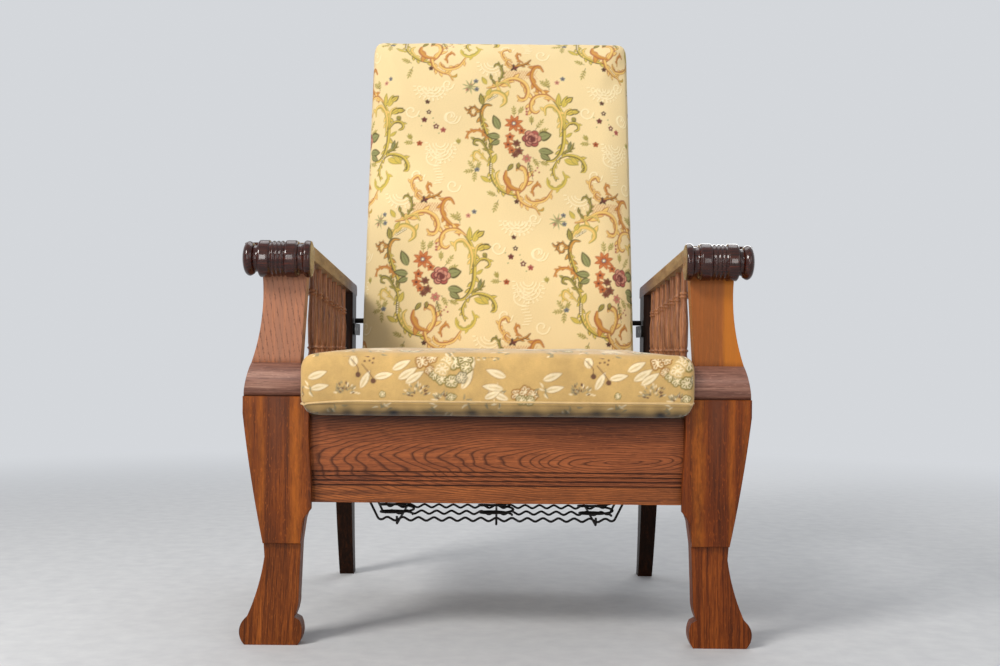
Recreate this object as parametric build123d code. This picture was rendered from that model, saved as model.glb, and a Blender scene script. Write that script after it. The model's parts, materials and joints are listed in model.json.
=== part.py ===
from build123d import *
from math import cos, pi, radians, sin, tan
import os

os.makedirs("parts", exist_ok=True)

# Lengths are in millimetres. The chair faces -Y, and x is measured from its centre plane.
# While the chair is built, y is measured back from the front faces of the leg blocks, and
# the finished chair is moved so that y is zero at the middle of its whole depth.

# Seat frame
half_seat = 275.0
seat_top = 337.0
front_rail_height = 128.0
front_rail_thick = 20.0
side_rail_height = 100.0
side_rail_thick = 22.0
rear_rail_height = 90.0
rear_rail_thick = 24.0
rear_rail_setback = 22.4
groove_width = 2.0
groove_depth = 1.6
groove_pitch = 6.6
groove_margin = 25.0
groove_count = 4

# Joints between the boards
tenon_thick = 10.0
tenon_length = 14.0
tenon_shoulder = 8.0
front_tenon_height = 40.0
side_tenon_height = 34.0
rear_tenon_height = 50.0
joint_gap = 0.1
rear_tenon_share = 0.8

# Front legs: thicknesses, heights, then half widths from the centre plane
plank_thick = 28.0
block_thick = 8.0
moulding_depth = 14.0
foot_top = 150.0
knee_height = 340.0
block_top = 365.0
moulding_top = 414.0
head_bottom = 543.0
head_step = 5.0
toe_height = 41.0
toe_notch = 4.0
ankle_height = 130.0
shin_height = 71.0
sole_reach = 368.0
toe_reach = 376.0
instep_reach = 365.0
ankle_reach = 339.5
block_foot_reach = 341.0
knee_reach = 372.0
brow_reach = 361.0
waist_reach = 345.5
sole_inner = 290.0
heel_inner = 283.6
notch_inner = 295.0
shin_inner = 289.0
foot_inner = 286.0
brow_inner = 289.0
neck_inner = 281.0
block_overhang = 4.5
hip_height = 201.0
hip_reach = 282.5
hip_low = 184.0
hip_bend_share = 0.55
plank_setback = 1.2
overhang_start_share = 0.72
overhang_middle_share = 0.5
overhang_bend_share = 0.2
overhang_end_share = 0.4
instep_share = 0.66
instep_height_share = 0.52
bulge_share = 0.53
bulge_height_share = 0.46
heel_bend_share = 0.3
heel_height_share = 0.6
waist_share = 0.94

# Rear posts
post_front = 532.0
post_depth = 58.0
post_width = 32.0
post_foot_width = 27.0
post_foot_front = 587.0
post_foot_depth = 30.0
post_bend_share = 0.56
post_belly_front = 547.0
post_belly_rear = 592.0

# Arms and their turned rolls
arm_top = 590.0
arm_thick = 22.0
arm_width = 97.0
arm_end = 605.0
arm_fall = 30.0
arm_corner = 12.0
arm_edge = 3.0
roll_radius = 27.0
roll_length = 99.0
roll_inset = 5.0
roll_reach = 10.0
roll_rise = 2.0
roll_outline_shares = (
    (0.000, 0.56, 0.00), (0.150, 0.80, 0.24), (0.165, 0.73, 0.00), (0.220, 0.73, -0.02),
    (0.228, 0.94, 0.00), (0.247, 1.00, 0.00), (0.378, 1.00, 0.00), (0.398, 0.93, 0.00),
    (0.414, 0.90, 0.00), (0.477, 0.90, 0.07), (0.540, 0.90, 0.07), (0.602, 0.90, 0.07),
    (0.616, 0.93, 0.00), (0.636, 1.00, 0.00), (0.768, 1.00, 0.00), (0.788, 0.94, 0.00),
    (0.806, 0.92, 0.00), (0.889, 0.92, -0.06), (0.990, 0.88, 0.10), (1.000, 0.80, 0.00),
)

# Spindles
spindle_count = 7
spindle_margin = 62.0
spindle_inset = 11.0
spindle_hole = 10.0
spindle_end_radius = 4.6
spindle_foot_radius = 4.8
spindle_low_radius = 6.6
spindle_ring_radius = 7.6
spindle_ring_height = 5.0
spindle_low_ring = 102.0
spindle_top_drop = 36.0
spindle_long_radius = 6.8
spindle_slim_radius = 4.8
spindle_gap = 0.05
spindle_neck_share = 0.35
spindle_vase_share = 0.75
spindle_long_share = 0.25

# Seat springs and the wires that carry them
wire_radius = 1.8
wire_z = 174.0
crimp_height = 3.5
crimp_pitch = 24.0
crimp_count = 15
crimp_bend = 6.0
wire_row_count = 5
wire_row_pitch = 80.0
wire_end_drop = 24.0
wire_end_depth = 8.0
wire_hook = 24.0
tie_hook = 12.0
spring_spacing = 153.0
spring_rows = 3
spring_turns = 8
spring_bottom_radius = 24.0
spring_top_radius = 40.0
spring_ease_share = 0.1
seat_gap = 0.3
deck_thick = 1.2
deck_lap = 4.0
deck_front_lap = 16.0

# Seat cushion
cushion_half = 268.0
cushion_top = 435.0
cushion_front = 30.0
cushion_rear = 437.0
cushion_corner = 26.0
cushion_draw = 20.0
wing_half = 287.0
wing_back = 8.0
wing_top_round = 28.0
wing_low_round = 12.0
wing_edge = 9.0
cushion_rise_shares = (0.0, 0.14, 0.48, 0.76, 0.93, 1.0)
cushion_inset_shares = (0.9, 0.05, 0.0, 0.25, 1.1, 2.9)

# Backrest
back_angle = 16.4
back_half = 253.5
back_length = 722.0
back_thick = 75.0
back_corner = 24.0
back_draw = 12.0
back_wood_thick = 20.0
back_wood_width = 44.0
back_wood_margin = 8.0
back_cloth_thick = 1.5
back_depth_shares = (0.0, 0.12, 0.62, 0.82, 0.95, 1.0)
back_inset_shares = (0.5, 0.0, 0.0, 0.35, 1.3, 3.4)
recline_range = 18.0
recline_steps = 3

# Hinges between the rear rail and the back
knuckle_radius = 4.0
pin_radius = 2.0
leaf_thick = 2.0
leaf_reach = 18.0
knuckle_length = 16.0
knuckle_gap = 0.3
hinge_spread = 160.0
turn_gap = 0.05
screw_radius = 1.8
screw_head_radius = 3.4
screw_head_height = 1.6
screw_length = 14.0
fixed_screw_share = 0.55
moving_screw_share = 0.62
rack_screw_shares = (0.28, 0.78)

# Support rod and its racks
rod_radius = 4.75
rod_z = 489.0
rod_end_gap = 1.5
rack_thick = 3.5
rack_height = 22.0
rack_lead = 14.0
rack_notch = 3.0
running_gap = 0.3

# Places that follow from the sizes above
plank_front = block_thick
plank_back = block_thick + plank_thick
front_rail_front = plank_back - front_rail_thick
seat_bottom = seat_top - front_rail_height
arm_slope = arm_fall / (arm_end - plank_front)
hinge_z = seat_top + knuckle_radius
hinge_y = post_front - rear_rail_setback
rear_rail_back = hinge_y
rear_rail_front = rear_rail_back - rear_rail_thick
row_centre = (plank_back + rear_rail_front) / 2


def at_x(x, z):
    """A point of an outline seen from the front."""
    return (x, 0, z)


def at_y(y, z):
    """A point of an outline seen from the side."""
    return (0, y, z)


def between(start, end, share):
    """The value that lies a share of the way from start to end."""
    return start + (end - start) * share


def closed_face(start, steps):
    """A face inside lines and arcs: a step of two points is an arc through the first one."""
    edges = []
    here = start
    for step in steps:
        if len(step) == 1:
            edges.append(Edge.make_line(here, step[0]))
        else:
            edges.append(Edge.make_three_point_arc(here, step[0], step[1]))
        here = step[-1]
    if here != start:
        edges.append(Edge.make_line(here, start))
    return Face(Wire(edges))


def block(x_span, y_span, z_span):
    """A box between two places on each axis."""
    size = [span[1] - span[0] for span in (x_span, y_span, z_span)]
    middle = [(span[1] + span[0]) / 2 for span in (x_span, y_span, z_span)]
    return Pos(*middle) * Box(*size)


def grown(x_span, y_span, z_span, gap):
    """The same box, larger by a gap on every side."""
    spans = [(span[0] - gap, span[1] + gap) for span in (x_span, y_span, z_span)]
    return block(*spans)


def side_prism(face, x_span):
    """A side outline carried from one x to another."""
    solid = extrude(face, amount=x_span[1] - x_span[0], dir=(1, 0, 0))
    return Pos(x_span[0], 0, 0) * solid


def front_prism(face, y_span):
    """A front outline carried from one y to another."""
    solid = extrude(face, amount=y_span[1] - y_span[0], dir=(0, 1, 0))
    return Pos(0, y_span[0], 0) * solid


def mirrored(shape):
    """The piece of the other side of the chair."""
    return mirror(shape, about=Plane.YZ)


def arm_underside(y):
    """The height of the arm board's lower face."""
    return arm_top - arm_thick - arm_slope * (y - plank_front)


# Front legs

def outer_foot():
    """Steps up the outer edge of the foot, from the sole."""
    instep = between(instep_reach, ankle_reach, instep_share)
    instep_z = between(toe_height, ankle_height, instep_height_share)
    notch_z = toe_height + toe_notch
    return [
        [at_x(toe_reach, toe_height / 2), at_x(instep_reach, toe_height)],
        [at_x(instep_reach - toe_notch / 2, notch_z)],
        [at_x(instep, instep_z), at_x(ankle_reach, ankle_height)],
    ]


def outer_block(low_reach):
    """Steps up the outer edge behind and on the block."""
    bulge = between(low_reach, knee_reach, bulge_share)
    bulge_z = between(foot_top, knee_height, bulge_height_share)
    return [
        [at_x(bulge, bulge_z), at_x(knee_reach, knee_height)],
        [at_x(knee_reach, block_top)],
    ]


def hip_curve(inner, setback):
    """The hollow under the rail's end, from the inner edge out to the top of the foot."""
    low = hip_reach - setback
    bend = between(inner, low, hip_bend_share)
    return [at_x(bend, (hip_height + hip_low) / 2), at_x(low, hip_low)]


def leg_outline():
    """The plank from the floor to above the arm, seen from the front."""
    waist = between(brow_reach, waist_reach, waist_share)
    waist_z = (moulding_top + head_bottom) / 2
    heel = between(shin_inner, notch_inner, heel_bend_share)
    heel_z = between(shin_height, toe_height, heel_height_share)
    steps = outer_foot()
    steps += [[at_x(block_foot_reach, foot_top)]]
    steps += outer_block(block_foot_reach)
    steps += [
        [at_x(brow_reach, moulding_top)],
        [at_x(waist, waist_z), at_x(waist_reach, head_bottom)],
        [at_x(waist_reach, arm_top)],
        [at_x(half_seat, arm_top)],
        [at_x(half_seat, head_bottom + head_step)],
        [at_x(neck_inner, head_bottom)],
        [at_x(brow_inner, moulding_top)],
        [at_x(half_seat, block_top)],
        [at_x(half_seat, hip_height)],
        hip_curve(half_seat, plank_setback),
        [at_x(foot_inner, foot_top)],
        [at_x(shin_inner, shin_height)],
        [at_x(heel, heel_z), at_x(notch_inner, toe_height)],
        [at_x(heel_inner + toe_notch, toe_height - toe_notch)],
        [at_x(heel_inner, toe_height / 2), at_x(sole_inner, 0)],
    ]
    return closed_face(at_x(sole_reach, 0), steps)


def block_outline():
    """The board applied on the plank: its inner edge stands in over the rail's end."""
    inner = half_seat - block_overhang
    edge = half_seat - block_overhang * overhang_bend_share
    start_z = between(foot_top, block_top, overhang_start_share)
    middle_z = between(foot_top, block_top, overhang_middle_share)
    low_z = between(foot_top, block_top, overhang_end_share)
    steps = outer_block(block_foot_reach)
    steps += [
        [at_x(half_seat, block_top)],
        [at_x(half_seat, start_z)],
        [at_x(edge - block_overhang / 2, middle_z), at_x(inner, low_z)],
        [at_x(inner, hip_height)],
        hip_curve(inner, 0),
        [at_x(foot_inner, foot_top)],
    ]
    return closed_face(at_x(block_foot_reach, foot_top), steps)


def above_arm():
    """All the space over the arm board's lower face."""
    rear = arm_end + arm_width
    steps = [
        [at_y(rear, arm_underside(rear))],
        [at_y(rear, arm_top + arm_width)],
        [at_y(-arm_width, arm_top + arm_width)],
    ]
    face = closed_face(at_y(-arm_width, arm_underside(-arm_width)), steps)
    return side_prism(face, (0, knee_reach + arm_width))


def front_tenon_spans():
    """The tongue of the front rail in the leg plank."""
    middle = front_rail_front + front_rail_thick / 2
    top = seat_top - tenon_shoulder
    return (
        (half_seat, half_seat + tenon_length),
        (middle - tenon_thick / 2, middle + tenon_thick / 2),
        (top - front_tenon_height, top),
    )


def side_tenon_z():
    """The heights between which the side rail's tongues lie, under the front rail's."""
    top = seat_top - 2 * tenon_shoulder - front_tenon_height
    return (top - side_tenon_height, top)


def side_tenon_spans(y_span):
    """A tongue of the side rail between two depths."""
    middle = half_seat + side_rail_thick / 2
    return ((middle - tenon_thick / 2, middle + tenon_thick / 2), y_span, side_tenon_z())


def front_side_tenon():
    return side_tenon_spans((plank_back - tenon_length, plank_back))


def rear_side_tenon():
    return side_tenon_spans((post_front, post_front + tenon_length))


def front_leg():
    """The plank, cut square under the arm, with the sockets for two rails."""
    solid = front_prism(leg_outline(), (plank_front, plank_back))
    solid -= above_arm()
    solid -= grown(*front_tenon_spans(), joint_gap)
    solid -= grown(*front_side_tenon(), joint_gap)
    return solid


def leg_block():
    solid = front_prism(block_outline(), (0, plank_front))
    front_edges = solid.faces().sort_by(Axis.Y)[0].edges()
    return chamfer(front_edges, arm_edge / 4)


def leg_moulding():
    """A half-round band with ends that follow the leg's outline."""
    middle = (block_top + moulding_top) / 2
    crest = plank_front - moulding_depth
    face = closed_face(at_y(plank_front, block_top),
                       [[at_y(crest, middle), at_y(plank_front, moulding_top)]])
    bar = side_prism(face, (0, knee_reach + arm_width))
    return bar & front_prism(leg_outline(), (crest - arm_edge, plank_front))


# Arms

def arm_board():
    """The sloping board, rounded at its rear end, with the holes for the spindles."""
    end_low = arm_underside(arm_end)
    end_top = end_low + arm_thick
    bend = arm_corner * (1 - cos(pi / 4))
    steps = [
        [at_y(arm_end, end_low)],
        [at_y(arm_end, end_top - arm_corner)],
        [at_y(arm_end - bend, end_top - bend), at_y(arm_end - arm_corner, end_top)],
        [at_y(plank_front, arm_top)],
    ]
    face = closed_face(at_y(plank_front, arm_underside(plank_front)), steps)
    solid = side_prism(face, (half_seat, half_seat + arm_width))
    long_top = solid.edges().filter_by(lambda edge: edge.length > arm_end / 2).sort_by(Axis.Z)[2:]
    solid = fillet(long_top, arm_edge)
    for y in spindle_places():
        low = arm_underside(y)
        hole = Cylinder(spindle_slim_radius + spindle_gap, 2 * spindle_hole)
        solid -= Pos(spindle_x(), y, low) * hole
    return solid


def roll_centre():
    return (half_seat - roll_inset, -roll_reach, arm_top + roll_rise - roll_radius)


def turned_steps(stations, point):
    """Steps along a turned outline: a line, or an arc where a station gives a swell."""
    steps = []
    for (start, radius, _), (end, end_radius, swell) in zip(stations, stations[1:]):
        middle = point((start + end) / 2, (radius + end_radius) / 2 + swell)
        steps.append([middle, point(end, end_radius)] if swell else [point(end, end_radius)])
    return steps


def roll_point(along_share, radius_share):
    """A point of the roll's outline, counted from its outer end."""
    return at_x(roll_centre()[0] + roll_length * (1 - along_share), radius_share * roll_radius)


def arm_roll():
    """The turned roll, its outer end first, with a flat where it meets the arm and the leg."""
    y, z = roll_centre()[1:]
    steps = [[roll_point(*roll_outline_shares[0][:2])]]
    steps += turned_steps(roll_outline_shares, roll_point)
    steps += [[roll_point(1, 0)]]
    solid = Pos(0, y, z) * revolve(closed_face(roll_point(0, 0), steps), Axis.X)
    seat = block((half_seat, half_seat + arm_width), (plank_front, plank_front + roll_radius),
                 (z - roll_radius, z + roll_radius))
    return solid - seat


# Rear posts and rails

def post_side_outline():
    """The post seen from the side: upright above the seat rails, swept back below them."""
    low = seat_top - side_rail_height
    bend = low * post_bend_share
    post_rear = post_front + post_depth
    foot_rear = post_foot_front + post_foot_depth
    steps = [
        [at_y(post_front, low)],
        [at_y(post_belly_front, bend), at_y(post_foot_front, 0)],
        [at_y(foot_rear, 0)],
        [at_y(post_belly_rear, bend), at_y(post_rear, low)],
        [at_y(post_rear, arm_top)],
    ]
    return closed_face(at_y(post_front, arm_top), steps)


def post_front_outline():
    """The post seen from the front: narrower at the foot."""
    low = seat_top - side_rail_height
    steps = [
        [at_x(half_seat + post_foot_width, 0)],
        [at_x(half_seat + post_width, low)],
        [at_x(half_seat + post_width, arm_top)],
        [at_x(half_seat, arm_top)],
    ]
    return closed_face(at_x(half_seat, 0), steps)


def rear_post():
    solid = side_prism(post_side_outline(), (0, half_seat + post_width))
    solid &= front_prism(post_front_outline(), (0, arm_end + post_depth))
    solid -= above_arm()
    solid -= grown(*rear_side_tenon(), joint_gap)
    return solid - screws_of(rack_screw_places())


def rear_tenon_spans():
    """The tongue of the rear rail in the side rail."""
    middle = (rear_rail_front + rear_rail_back) / 2
    top = seat_top - tenon_shoulder
    depth = tenon_length * rear_tenon_share
    return (
        (half_seat, half_seat + depth),
        (middle - tenon_thick / 2, middle + tenon_thick / 2),
        (top - rear_tenon_height, top),
    )


def side_rail():
    """The rail that carries the spindles, the ends of the cross wires and the rear rail."""
    spans = (half_seat, half_seat + side_rail_thick), (plank_back, post_front)
    solid = block(*spans, (seat_top - side_rail_height, seat_top))
    solid += block(*front_side_tenon())
    solid += block(*rear_side_tenon())
    solid -= grown(*rear_tenon_spans(), joint_gap)
    for y in spindle_places():
        hole = Cylinder(spindle_foot_radius + spindle_gap, 2 * spindle_hole)
        solid -= Pos(spindle_x(), y, seat_top) * hole
    for y in wire_rows():
        hole = Cylinder(wire_radius + spindle_gap, 2 * wire_end_depth, rotation=(0, 90, 0))
        solid -= Pos(half_seat, y, seat_top - wire_end_drop) * hole
    return solid


def front_rail():
    """The rail between the legs, with fine grooves along its lower part."""
    y_span = (front_rail_front, plank_back)
    solid = block((-half_seat, half_seat), y_span, (seat_bottom, seat_top))
    for number in range(groove_count):
        z = seat_bottom + groove_margin + groove_pitch * number
        solid -= block((-half_seat, half_seat), (front_rail_front, front_rail_front + groove_depth),
                       (z, z + groove_width))
    tenon = block(*front_tenon_spans())
    return solid + tenon + mirrored(tenon)


def rear_rail():
    solid = block((-half_seat, half_seat), (rear_rail_front, rear_rail_back),
                  (seat_top - rear_rail_height, seat_top))
    tenon = block(*rear_tenon_spans())
    solid += tenon + mirrored(tenon)
    return solid - screws_of(fixed_screw_places())


# Spindles

def spindle_x():
    return half_seat + spindle_inset


def spindle_places():
    """The depths of one side's spindles, evenly between the leg and the post."""
    first = plank_back + spindle_margin
    last = post_front - spindle_margin
    step = (last - first) / (spindle_count - 1)
    return [first + step * number for number in range(spindle_count)]


def spindle_stations(y):
    """Heights and radii up a spindle: a swelling, a ring, a long taper, two rings under the arm."""
    ring = spindle_ring_height
    swell = spindle_ring_radius - spindle_low_radius
    slim_swell = spindle_ring_radius - spindle_slim_radius
    low_ring = seat_top + spindle_low_ring
    top = arm_underside(y)
    upper = top - spindle_top_drop
    vase = between(seat_top, low_ring, spindle_vase_share)
    long_z = between(low_ring, upper, spindle_long_share)
    tip = top + spindle_hole - arm_slope * spindle_ring_radius - joint_gap
    return (
        (seat_top - spindle_hole, spindle_foot_radius, 0),
        (between(seat_top, low_ring, spindle_neck_share), spindle_end_radius, 0),
        (vase, spindle_low_radius, 0),
        (low_ring - ring, spindle_low_radius, 0),
        (low_ring, spindle_low_radius, swell),
        (long_z, spindle_long_radius, 0),
        (upper - 2 * ring, spindle_slim_radius, 0),
        (upper - ring, spindle_slim_radius, slim_swell),
        (upper, spindle_slim_radius, slim_swell),
        (tip, spindle_slim_radius, 0),
    )


def spindle_point(z, radius):
    return at_x(radius, z)


def spindle(y):
    """A turned spindle, let into the rail and the arm."""
    stations = spindle_stations(y)
    steps = [[spindle_point(*stations[0][:2])]]
    steps += turned_steps(stations, spindle_point)
    steps += [[spindle_point(stations[-1][0], 0)]]
    profile = closed_face(spindle_point(stations[0][0], 0), steps)
    return Pos(spindle_x(), y, 0) * revolve(profile, Axis.Z)


# Springs and wires

def wire_rows():
    """The depths of the crimped cross wires."""
    first = row_centre - wire_row_pitch * (wire_row_count - 1) / 2
    return [first + wire_row_pitch * number for number in range(wire_row_count)]


def spring_depths():
    """Every second cross wire carries a row of springs."""
    return wire_rows()[::2][:spring_rows]


def spring_columns():
    return [-spring_spacing, 0, spring_spacing]


def spring_point(turn):
    """A point of the cone-shaped coil and its way, from its centre line at the wires."""
    low = wire_z + crimp_height + 2 * wire_radius + seat_gap
    high = seat_top - seat_gap - wire_radius
    share = turn / spring_turns
    angle = 2 * pi * turn
    ease = spring_ease_share * sin(2 * pi * share)
    radius = between(spring_bottom_radius, spring_top_radius, share)
    rise = (high - low) / spring_turns
    slope = rise * (1 - 2 * pi * spring_ease_share * cos(2 * pi * share))
    growth = (spring_top_radius - spring_bottom_radius) / spring_turns
    z = low + (high - low) * (share - ease)
    way = Vector(
        growth * cos(angle) - 2 * pi * radius * sin(angle),
        growth * sin(angle) + 2 * pi * radius * cos(angle),
        slope,
    )
    return Vector(radius * cos(angle), radius * sin(angle), z), way.normalized()


def biarc(start, start_way, end, end_way):
    """Two arcs that leave start and reach end along the given ways."""
    chord = end - start
    both = start_way + end_way
    bend = 4 - both.dot(both)
    along = chord.dot(both)
    reach = (-along + (along * along + bend * chord.dot(chord)) ** 0.5) / bend
    first = start + start_way * reach
    second = end - end_way * reach
    join = (first + second) * 0.5
    return [
        Edge.make_tangent_arc(start, start_way, join),
        Edge.make_tangent_arc(join, (second - first).normalized(), end),
    ]


def coil_spring():
    """One unbroken wire, swept along arcs of a quarter turn each."""
    edges = []
    for half in range(2 * spring_turns):
        start, start_way = spring_point(half / 2)
        end, end_way = spring_point((half + 1) / 2)
        edges += biarc(start, start_way, end, end_way)
    start, way = spring_point(0)
    section = Plane(origin=start, z_dir=way) * Circle(wire_radius)
    return sweep(section, Wire(edges))


def least_spring_gap():
    """The least gap between a coil and itself, measured on points half a turn or more apart."""
    per_turn = 24
    points = [spring_point(n / per_turn)[0] for n in range(spring_turns * per_turn + 1)]
    least = points[-1].Z
    for place, point in enumerate(points):
        for other in points[place + per_turn // 2:]:
            least = min(least, (other - point).length)
    return least - 2 * wire_radius


def wire_tube(points):
    """A round wire along straight runs joined by arcs."""
    path = FilletPolyline(*points, radius=crimp_bend)
    start = Vector(*points[0])
    way = (Vector(*points[1]) - start).normalized()
    section = Plane(origin=start, z_dir=way) * Circle(wire_radius)
    return sweep(section, path)


def cross_wire(y):
    """A wire from one side rail down to the coils, crimped all the way across, and up again."""
    end_z = seat_top - wire_end_drop
    end_x = half_seat + wire_end_depth
    reach = crimp_pitch * crimp_count / 2
    points = [(-end_x, y, end_z), (wire_hook - half_seat, y, end_z)]
    for number in range(2 * crimp_count + 1):
        up = crimp_height if number % 2 else -crimp_height
        points.append((crimp_pitch / 2 * number - reach, y, wire_z + up))
    points += [(half_seat - wire_hook, y, end_z), (end_x, y, end_z)]
    return wire_tube(points)


def length_wire(x):
    """A plain wire under all the cross wires, turned up in front of the first and behind the last."""
    low = wire_z - crimp_height - 2 * wire_radius - seat_gap
    beside = 2 * wire_radius + seat_gap
    front = wire_rows()[0] - beside
    rear = wire_rows()[-1] + beside
    points = [
        (x, front, low + tie_hook), (x, front, low), (x, rear, low), (x, rear, low + tie_hook),
    ]
    return wire_tube(points)


def deck_cloth():
    """The cloth over the springs, lapped on the tops of the four rails."""
    z_span = (seat_top, seat_top + deck_thick)
    half = half_seat + deck_lap
    solid = block((-half, half), (plank_back, rear_rail_front + deck_lap), z_span)
    front_half = half_seat - seat_gap
    return solid + block((-front_half, front_half), (plank_back - deck_front_lap, plank_back), z_span)


# Seat cushion

def cushion_body():
    """The cushion between the arms: drawn in below its seam, rounded over to a crown."""
    low = seat_top + deck_thick + seat_gap
    length = cushion_rear + cushion_front - wing_edge
    middle = (cushion_rear - cushion_front + wing_edge) / 2
    sections = []
    for rise, inset_share in zip(cushion_rise_shares, cushion_inset_shares):
        inset = cushion_draw * inset_share
        plane = Plane((0, middle, between(low, cushion_top, rise)))
        sections.append(plane * RectangleRounded(
            2 * (cushion_half - inset), length - 2 * inset, cushion_corner))
    return loft(sections)


def cushion_nose():
    """The front of the cushion, wider than the gap between the legs, in front of them."""
    low = seat_top + deck_thick + seat_gap
    back = -wing_back
    x, z = wing_half, cushion_top
    top, foot = wing_top_round, wing_low_round
    top_bend, foot_bend = top * (1 - cos(pi / 4)), foot * (1 - cos(pi / 4))
    steps = [
        [at_x(x - foot, low)],
        [at_x(x - foot_bend, low + foot_bend), at_x(x, low + foot)],
        [at_x(x, z - top)],
        [at_x(x - top_bend, z - top_bend), at_x(x - top, z)],
        [at_x(top - x, z)],
        [at_x(top_bend - x, z - top_bend), at_x(-x, z - top)],
        [at_x(-x, low + foot)],
        [at_x(foot_bend - x, low + foot_bend), at_x(foot - x, low)],
    ]
    solid = front_prism(closed_face(at_x(foot - x, low), steps), (-cushion_front, back))
    return fillet(solid.faces().sort_by(Axis.Y)[0].edges(), wing_edge)


def seat_cushion():
    return cushion_body() + cushion_nose()


# Backrest, built upright with its rear face at y zero and the hinge axis at the origin

def back_lift():
    return knuckle_radius


def place_back(shape):
    """The upright back's pieces, tilted and set on the hinge axis."""
    return Pos(0, hinge_y, hinge_z) * Rot(-back_angle, 0, 0) * shape


def wood_rear():
    return -2 * back_cloth_thick


def wood_front():
    return wood_rear() - back_wood_thick


def back_pad():
    """The padded front, drawn in at its edges to a crown, hollow behind for the wooden frame."""
    rear = wood_rear()
    low = back_lift() + back_cloth_thick
    height = back_length - low
    sections = []
    for depth, inset_share in zip(back_depth_shares, back_inset_shares):
        inset = back_draw * inset_share
        plane = Plane(origin=(0, between(rear, -back_thick, depth), low + height / 2),
                      x_dir=(1, 0, 0), z_dir=(0, -1, 0))
        sections.append(plane * RectangleRounded(
            2 * (back_half - inset), height - 2 * inset, back_corner))
    half = back_half - back_wood_margin
    hollow = block((-half, half), (wood_front(), 0), (0, back_length - back_wood_margin))
    return loft(sections) - hollow


def back_stile():
    outer = back_half - back_wood_margin
    z_span = (back_lift(), back_length - back_wood_margin)
    return block((outer - back_wood_width, outer), (wood_front(), wood_rear()), z_span)


def back_rail(low):
    half = back_half - back_wood_margin - back_wood_width
    return block((-half, half), (wood_front(), wood_rear()), (low, low + back_wood_width))


def back_bottom_rail():
    return back_rail(back_lift()) - screws_of(moving_screw_places())


def back_top_rail():
    return back_rail(back_length - back_wood_margin - back_wood_width)


def back_cloth():
    """The cloth that closes the rear of the back."""
    half = back_half - back_wood_margin
    y_span = (wood_rear(), wood_rear() + back_cloth_thick)
    low = back_lift() + back_cloth_thick
    return block((-half, half), y_span, (low, back_length - back_wood_margin))


# Hinges

def knuckle(x, radius_inside):
    """One knuckle, centred on x, with its bore."""
    turn = (0, 90, 0)
    solid = Cylinder(knuckle_radius, knuckle_length - knuckle_gap, rotation=turn)
    solid -= Cylinder(radius_inside, knuckle_length, rotation=turn)
    return Pos(x, 0, 0) * solid


def leaf_plate(x, width, z_low):
    """A flat strip of a leaf from the knuckles forward, z measured from the axis."""
    return block((x - width / 2, x + width / 2), (-leaf_reach, 0), (z_low, z_low + leaf_thick))


def bore_space(x, width):
    """The space round the axis that a leaf leaves to the other leaf's knuckles."""
    return Pos(x, 0, 0) * Cylinder(knuckle_radius + knuckle_gap, width, rotation=(0, 90, 0))


def pin_space(x):
    return Pos(x, 0, 0) * Cylinder(pin_radius, 4 * knuckle_length, rotation=(0, 90, 0))


def fixed_leaf():
    """The leaf on the rear rail: two outer knuckles, built round the axis."""
    width = 3 * knuckle_length
    solid = leaf_plate(hinge_spread, width, -knuckle_radius)
    solid -= bore_space(hinge_spread, knuckle_length + knuckle_gap)
    for side in (-1, 1):
        solid += knuckle(hinge_spread + side * knuckle_length, pin_radius)
    solid -= pin_space(hinge_spread)
    return Pos(0, hinge_y, hinge_z) * solid - screws_of(fixed_screw_places())


def moving_leaf():
    """The leaf under the back: one middle knuckle, built round the axis."""
    width = 3 * knuckle_length
    solid = leaf_plate(hinge_spread, width, knuckle_radius - leaf_thick)
    for side in (-1, 1):
        place = hinge_spread + side * knuckle_length
        solid -= bore_space(place, knuckle_length + knuckle_gap)
    solid += knuckle(hinge_spread, pin_radius + turn_gap)
    solid -= Pos(hinge_spread, 0, 0) * Cylinder(
        pin_radius + turn_gap, knuckle_length, rotation=(0, 90, 0))
    return solid - screws_of(moving_screw_places())


def hinge_pin():
    pin = Cylinder(pin_radius, 3 * knuckle_length, rotation=(0, 90, 0))
    return Pos(hinge_spread, hinge_y, hinge_z) * pin


# Screws

def screw():
    """A flat-headed screw, its head's face at the origin, pointing down."""
    head = Cylinder(screw_head_radius, screw_head_height)
    shank = Cylinder(screw_radius, screw_length)
    return Pos(0, 0, -screw_head_height / 2) * head + Pos(0, 0, -screw_length / 2) * shank


def screws_of(places):
    return [place * screw() for place in places]


def leaf_screw_x():
    offset = knuckle_length
    return [side * (hinge_spread + end * offset) for side in (-1, 1) for end in (-1, 1)]


def fixed_screw_places():
    y = hinge_y - leaf_reach * fixed_screw_share
    return [Pos(x, y, seat_top + leaf_thick) for x in leaf_screw_x()]


def moving_screw_places():
    """In the upright back's own place, pointing up into the bottom rail."""
    y = -leaf_reach * moving_screw_share
    z = knuckle_radius - leaf_thick
    return [Pos(x, y, z) * Rot(180, 0, 0) for x in leaf_screw_x()]


def rack_screw_places():
    """Two screws in the right post's inner face."""
    z = rod_z - rod_radius - rack_height / 2
    depths = [post_front + post_depth * share for share in rack_screw_shares]
    return [Pos(half_seat - rack_thick, y, z) * Rot(0, -90, 0) for y in depths]


# Support rod and racks

def rod_depth(angle):
    """How far behind the hinge axis the rod touches the back when it leans by this angle."""
    lean = radians(angle)
    reach = rod_radius + running_gap + wood_rear() + back_cloth_thick
    return (reach + (rod_z - hinge_z) * sin(lean)) / cos(lean)


def rod_stops():
    """The rod's places for the recline steps."""
    travel = rod_depth(back_angle + recline_range) - rod_depth(back_angle)
    first = hinge_y + rod_depth(back_angle)
    return [first + travel * step / recline_steps for step in range(recline_steps + 1)]


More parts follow.
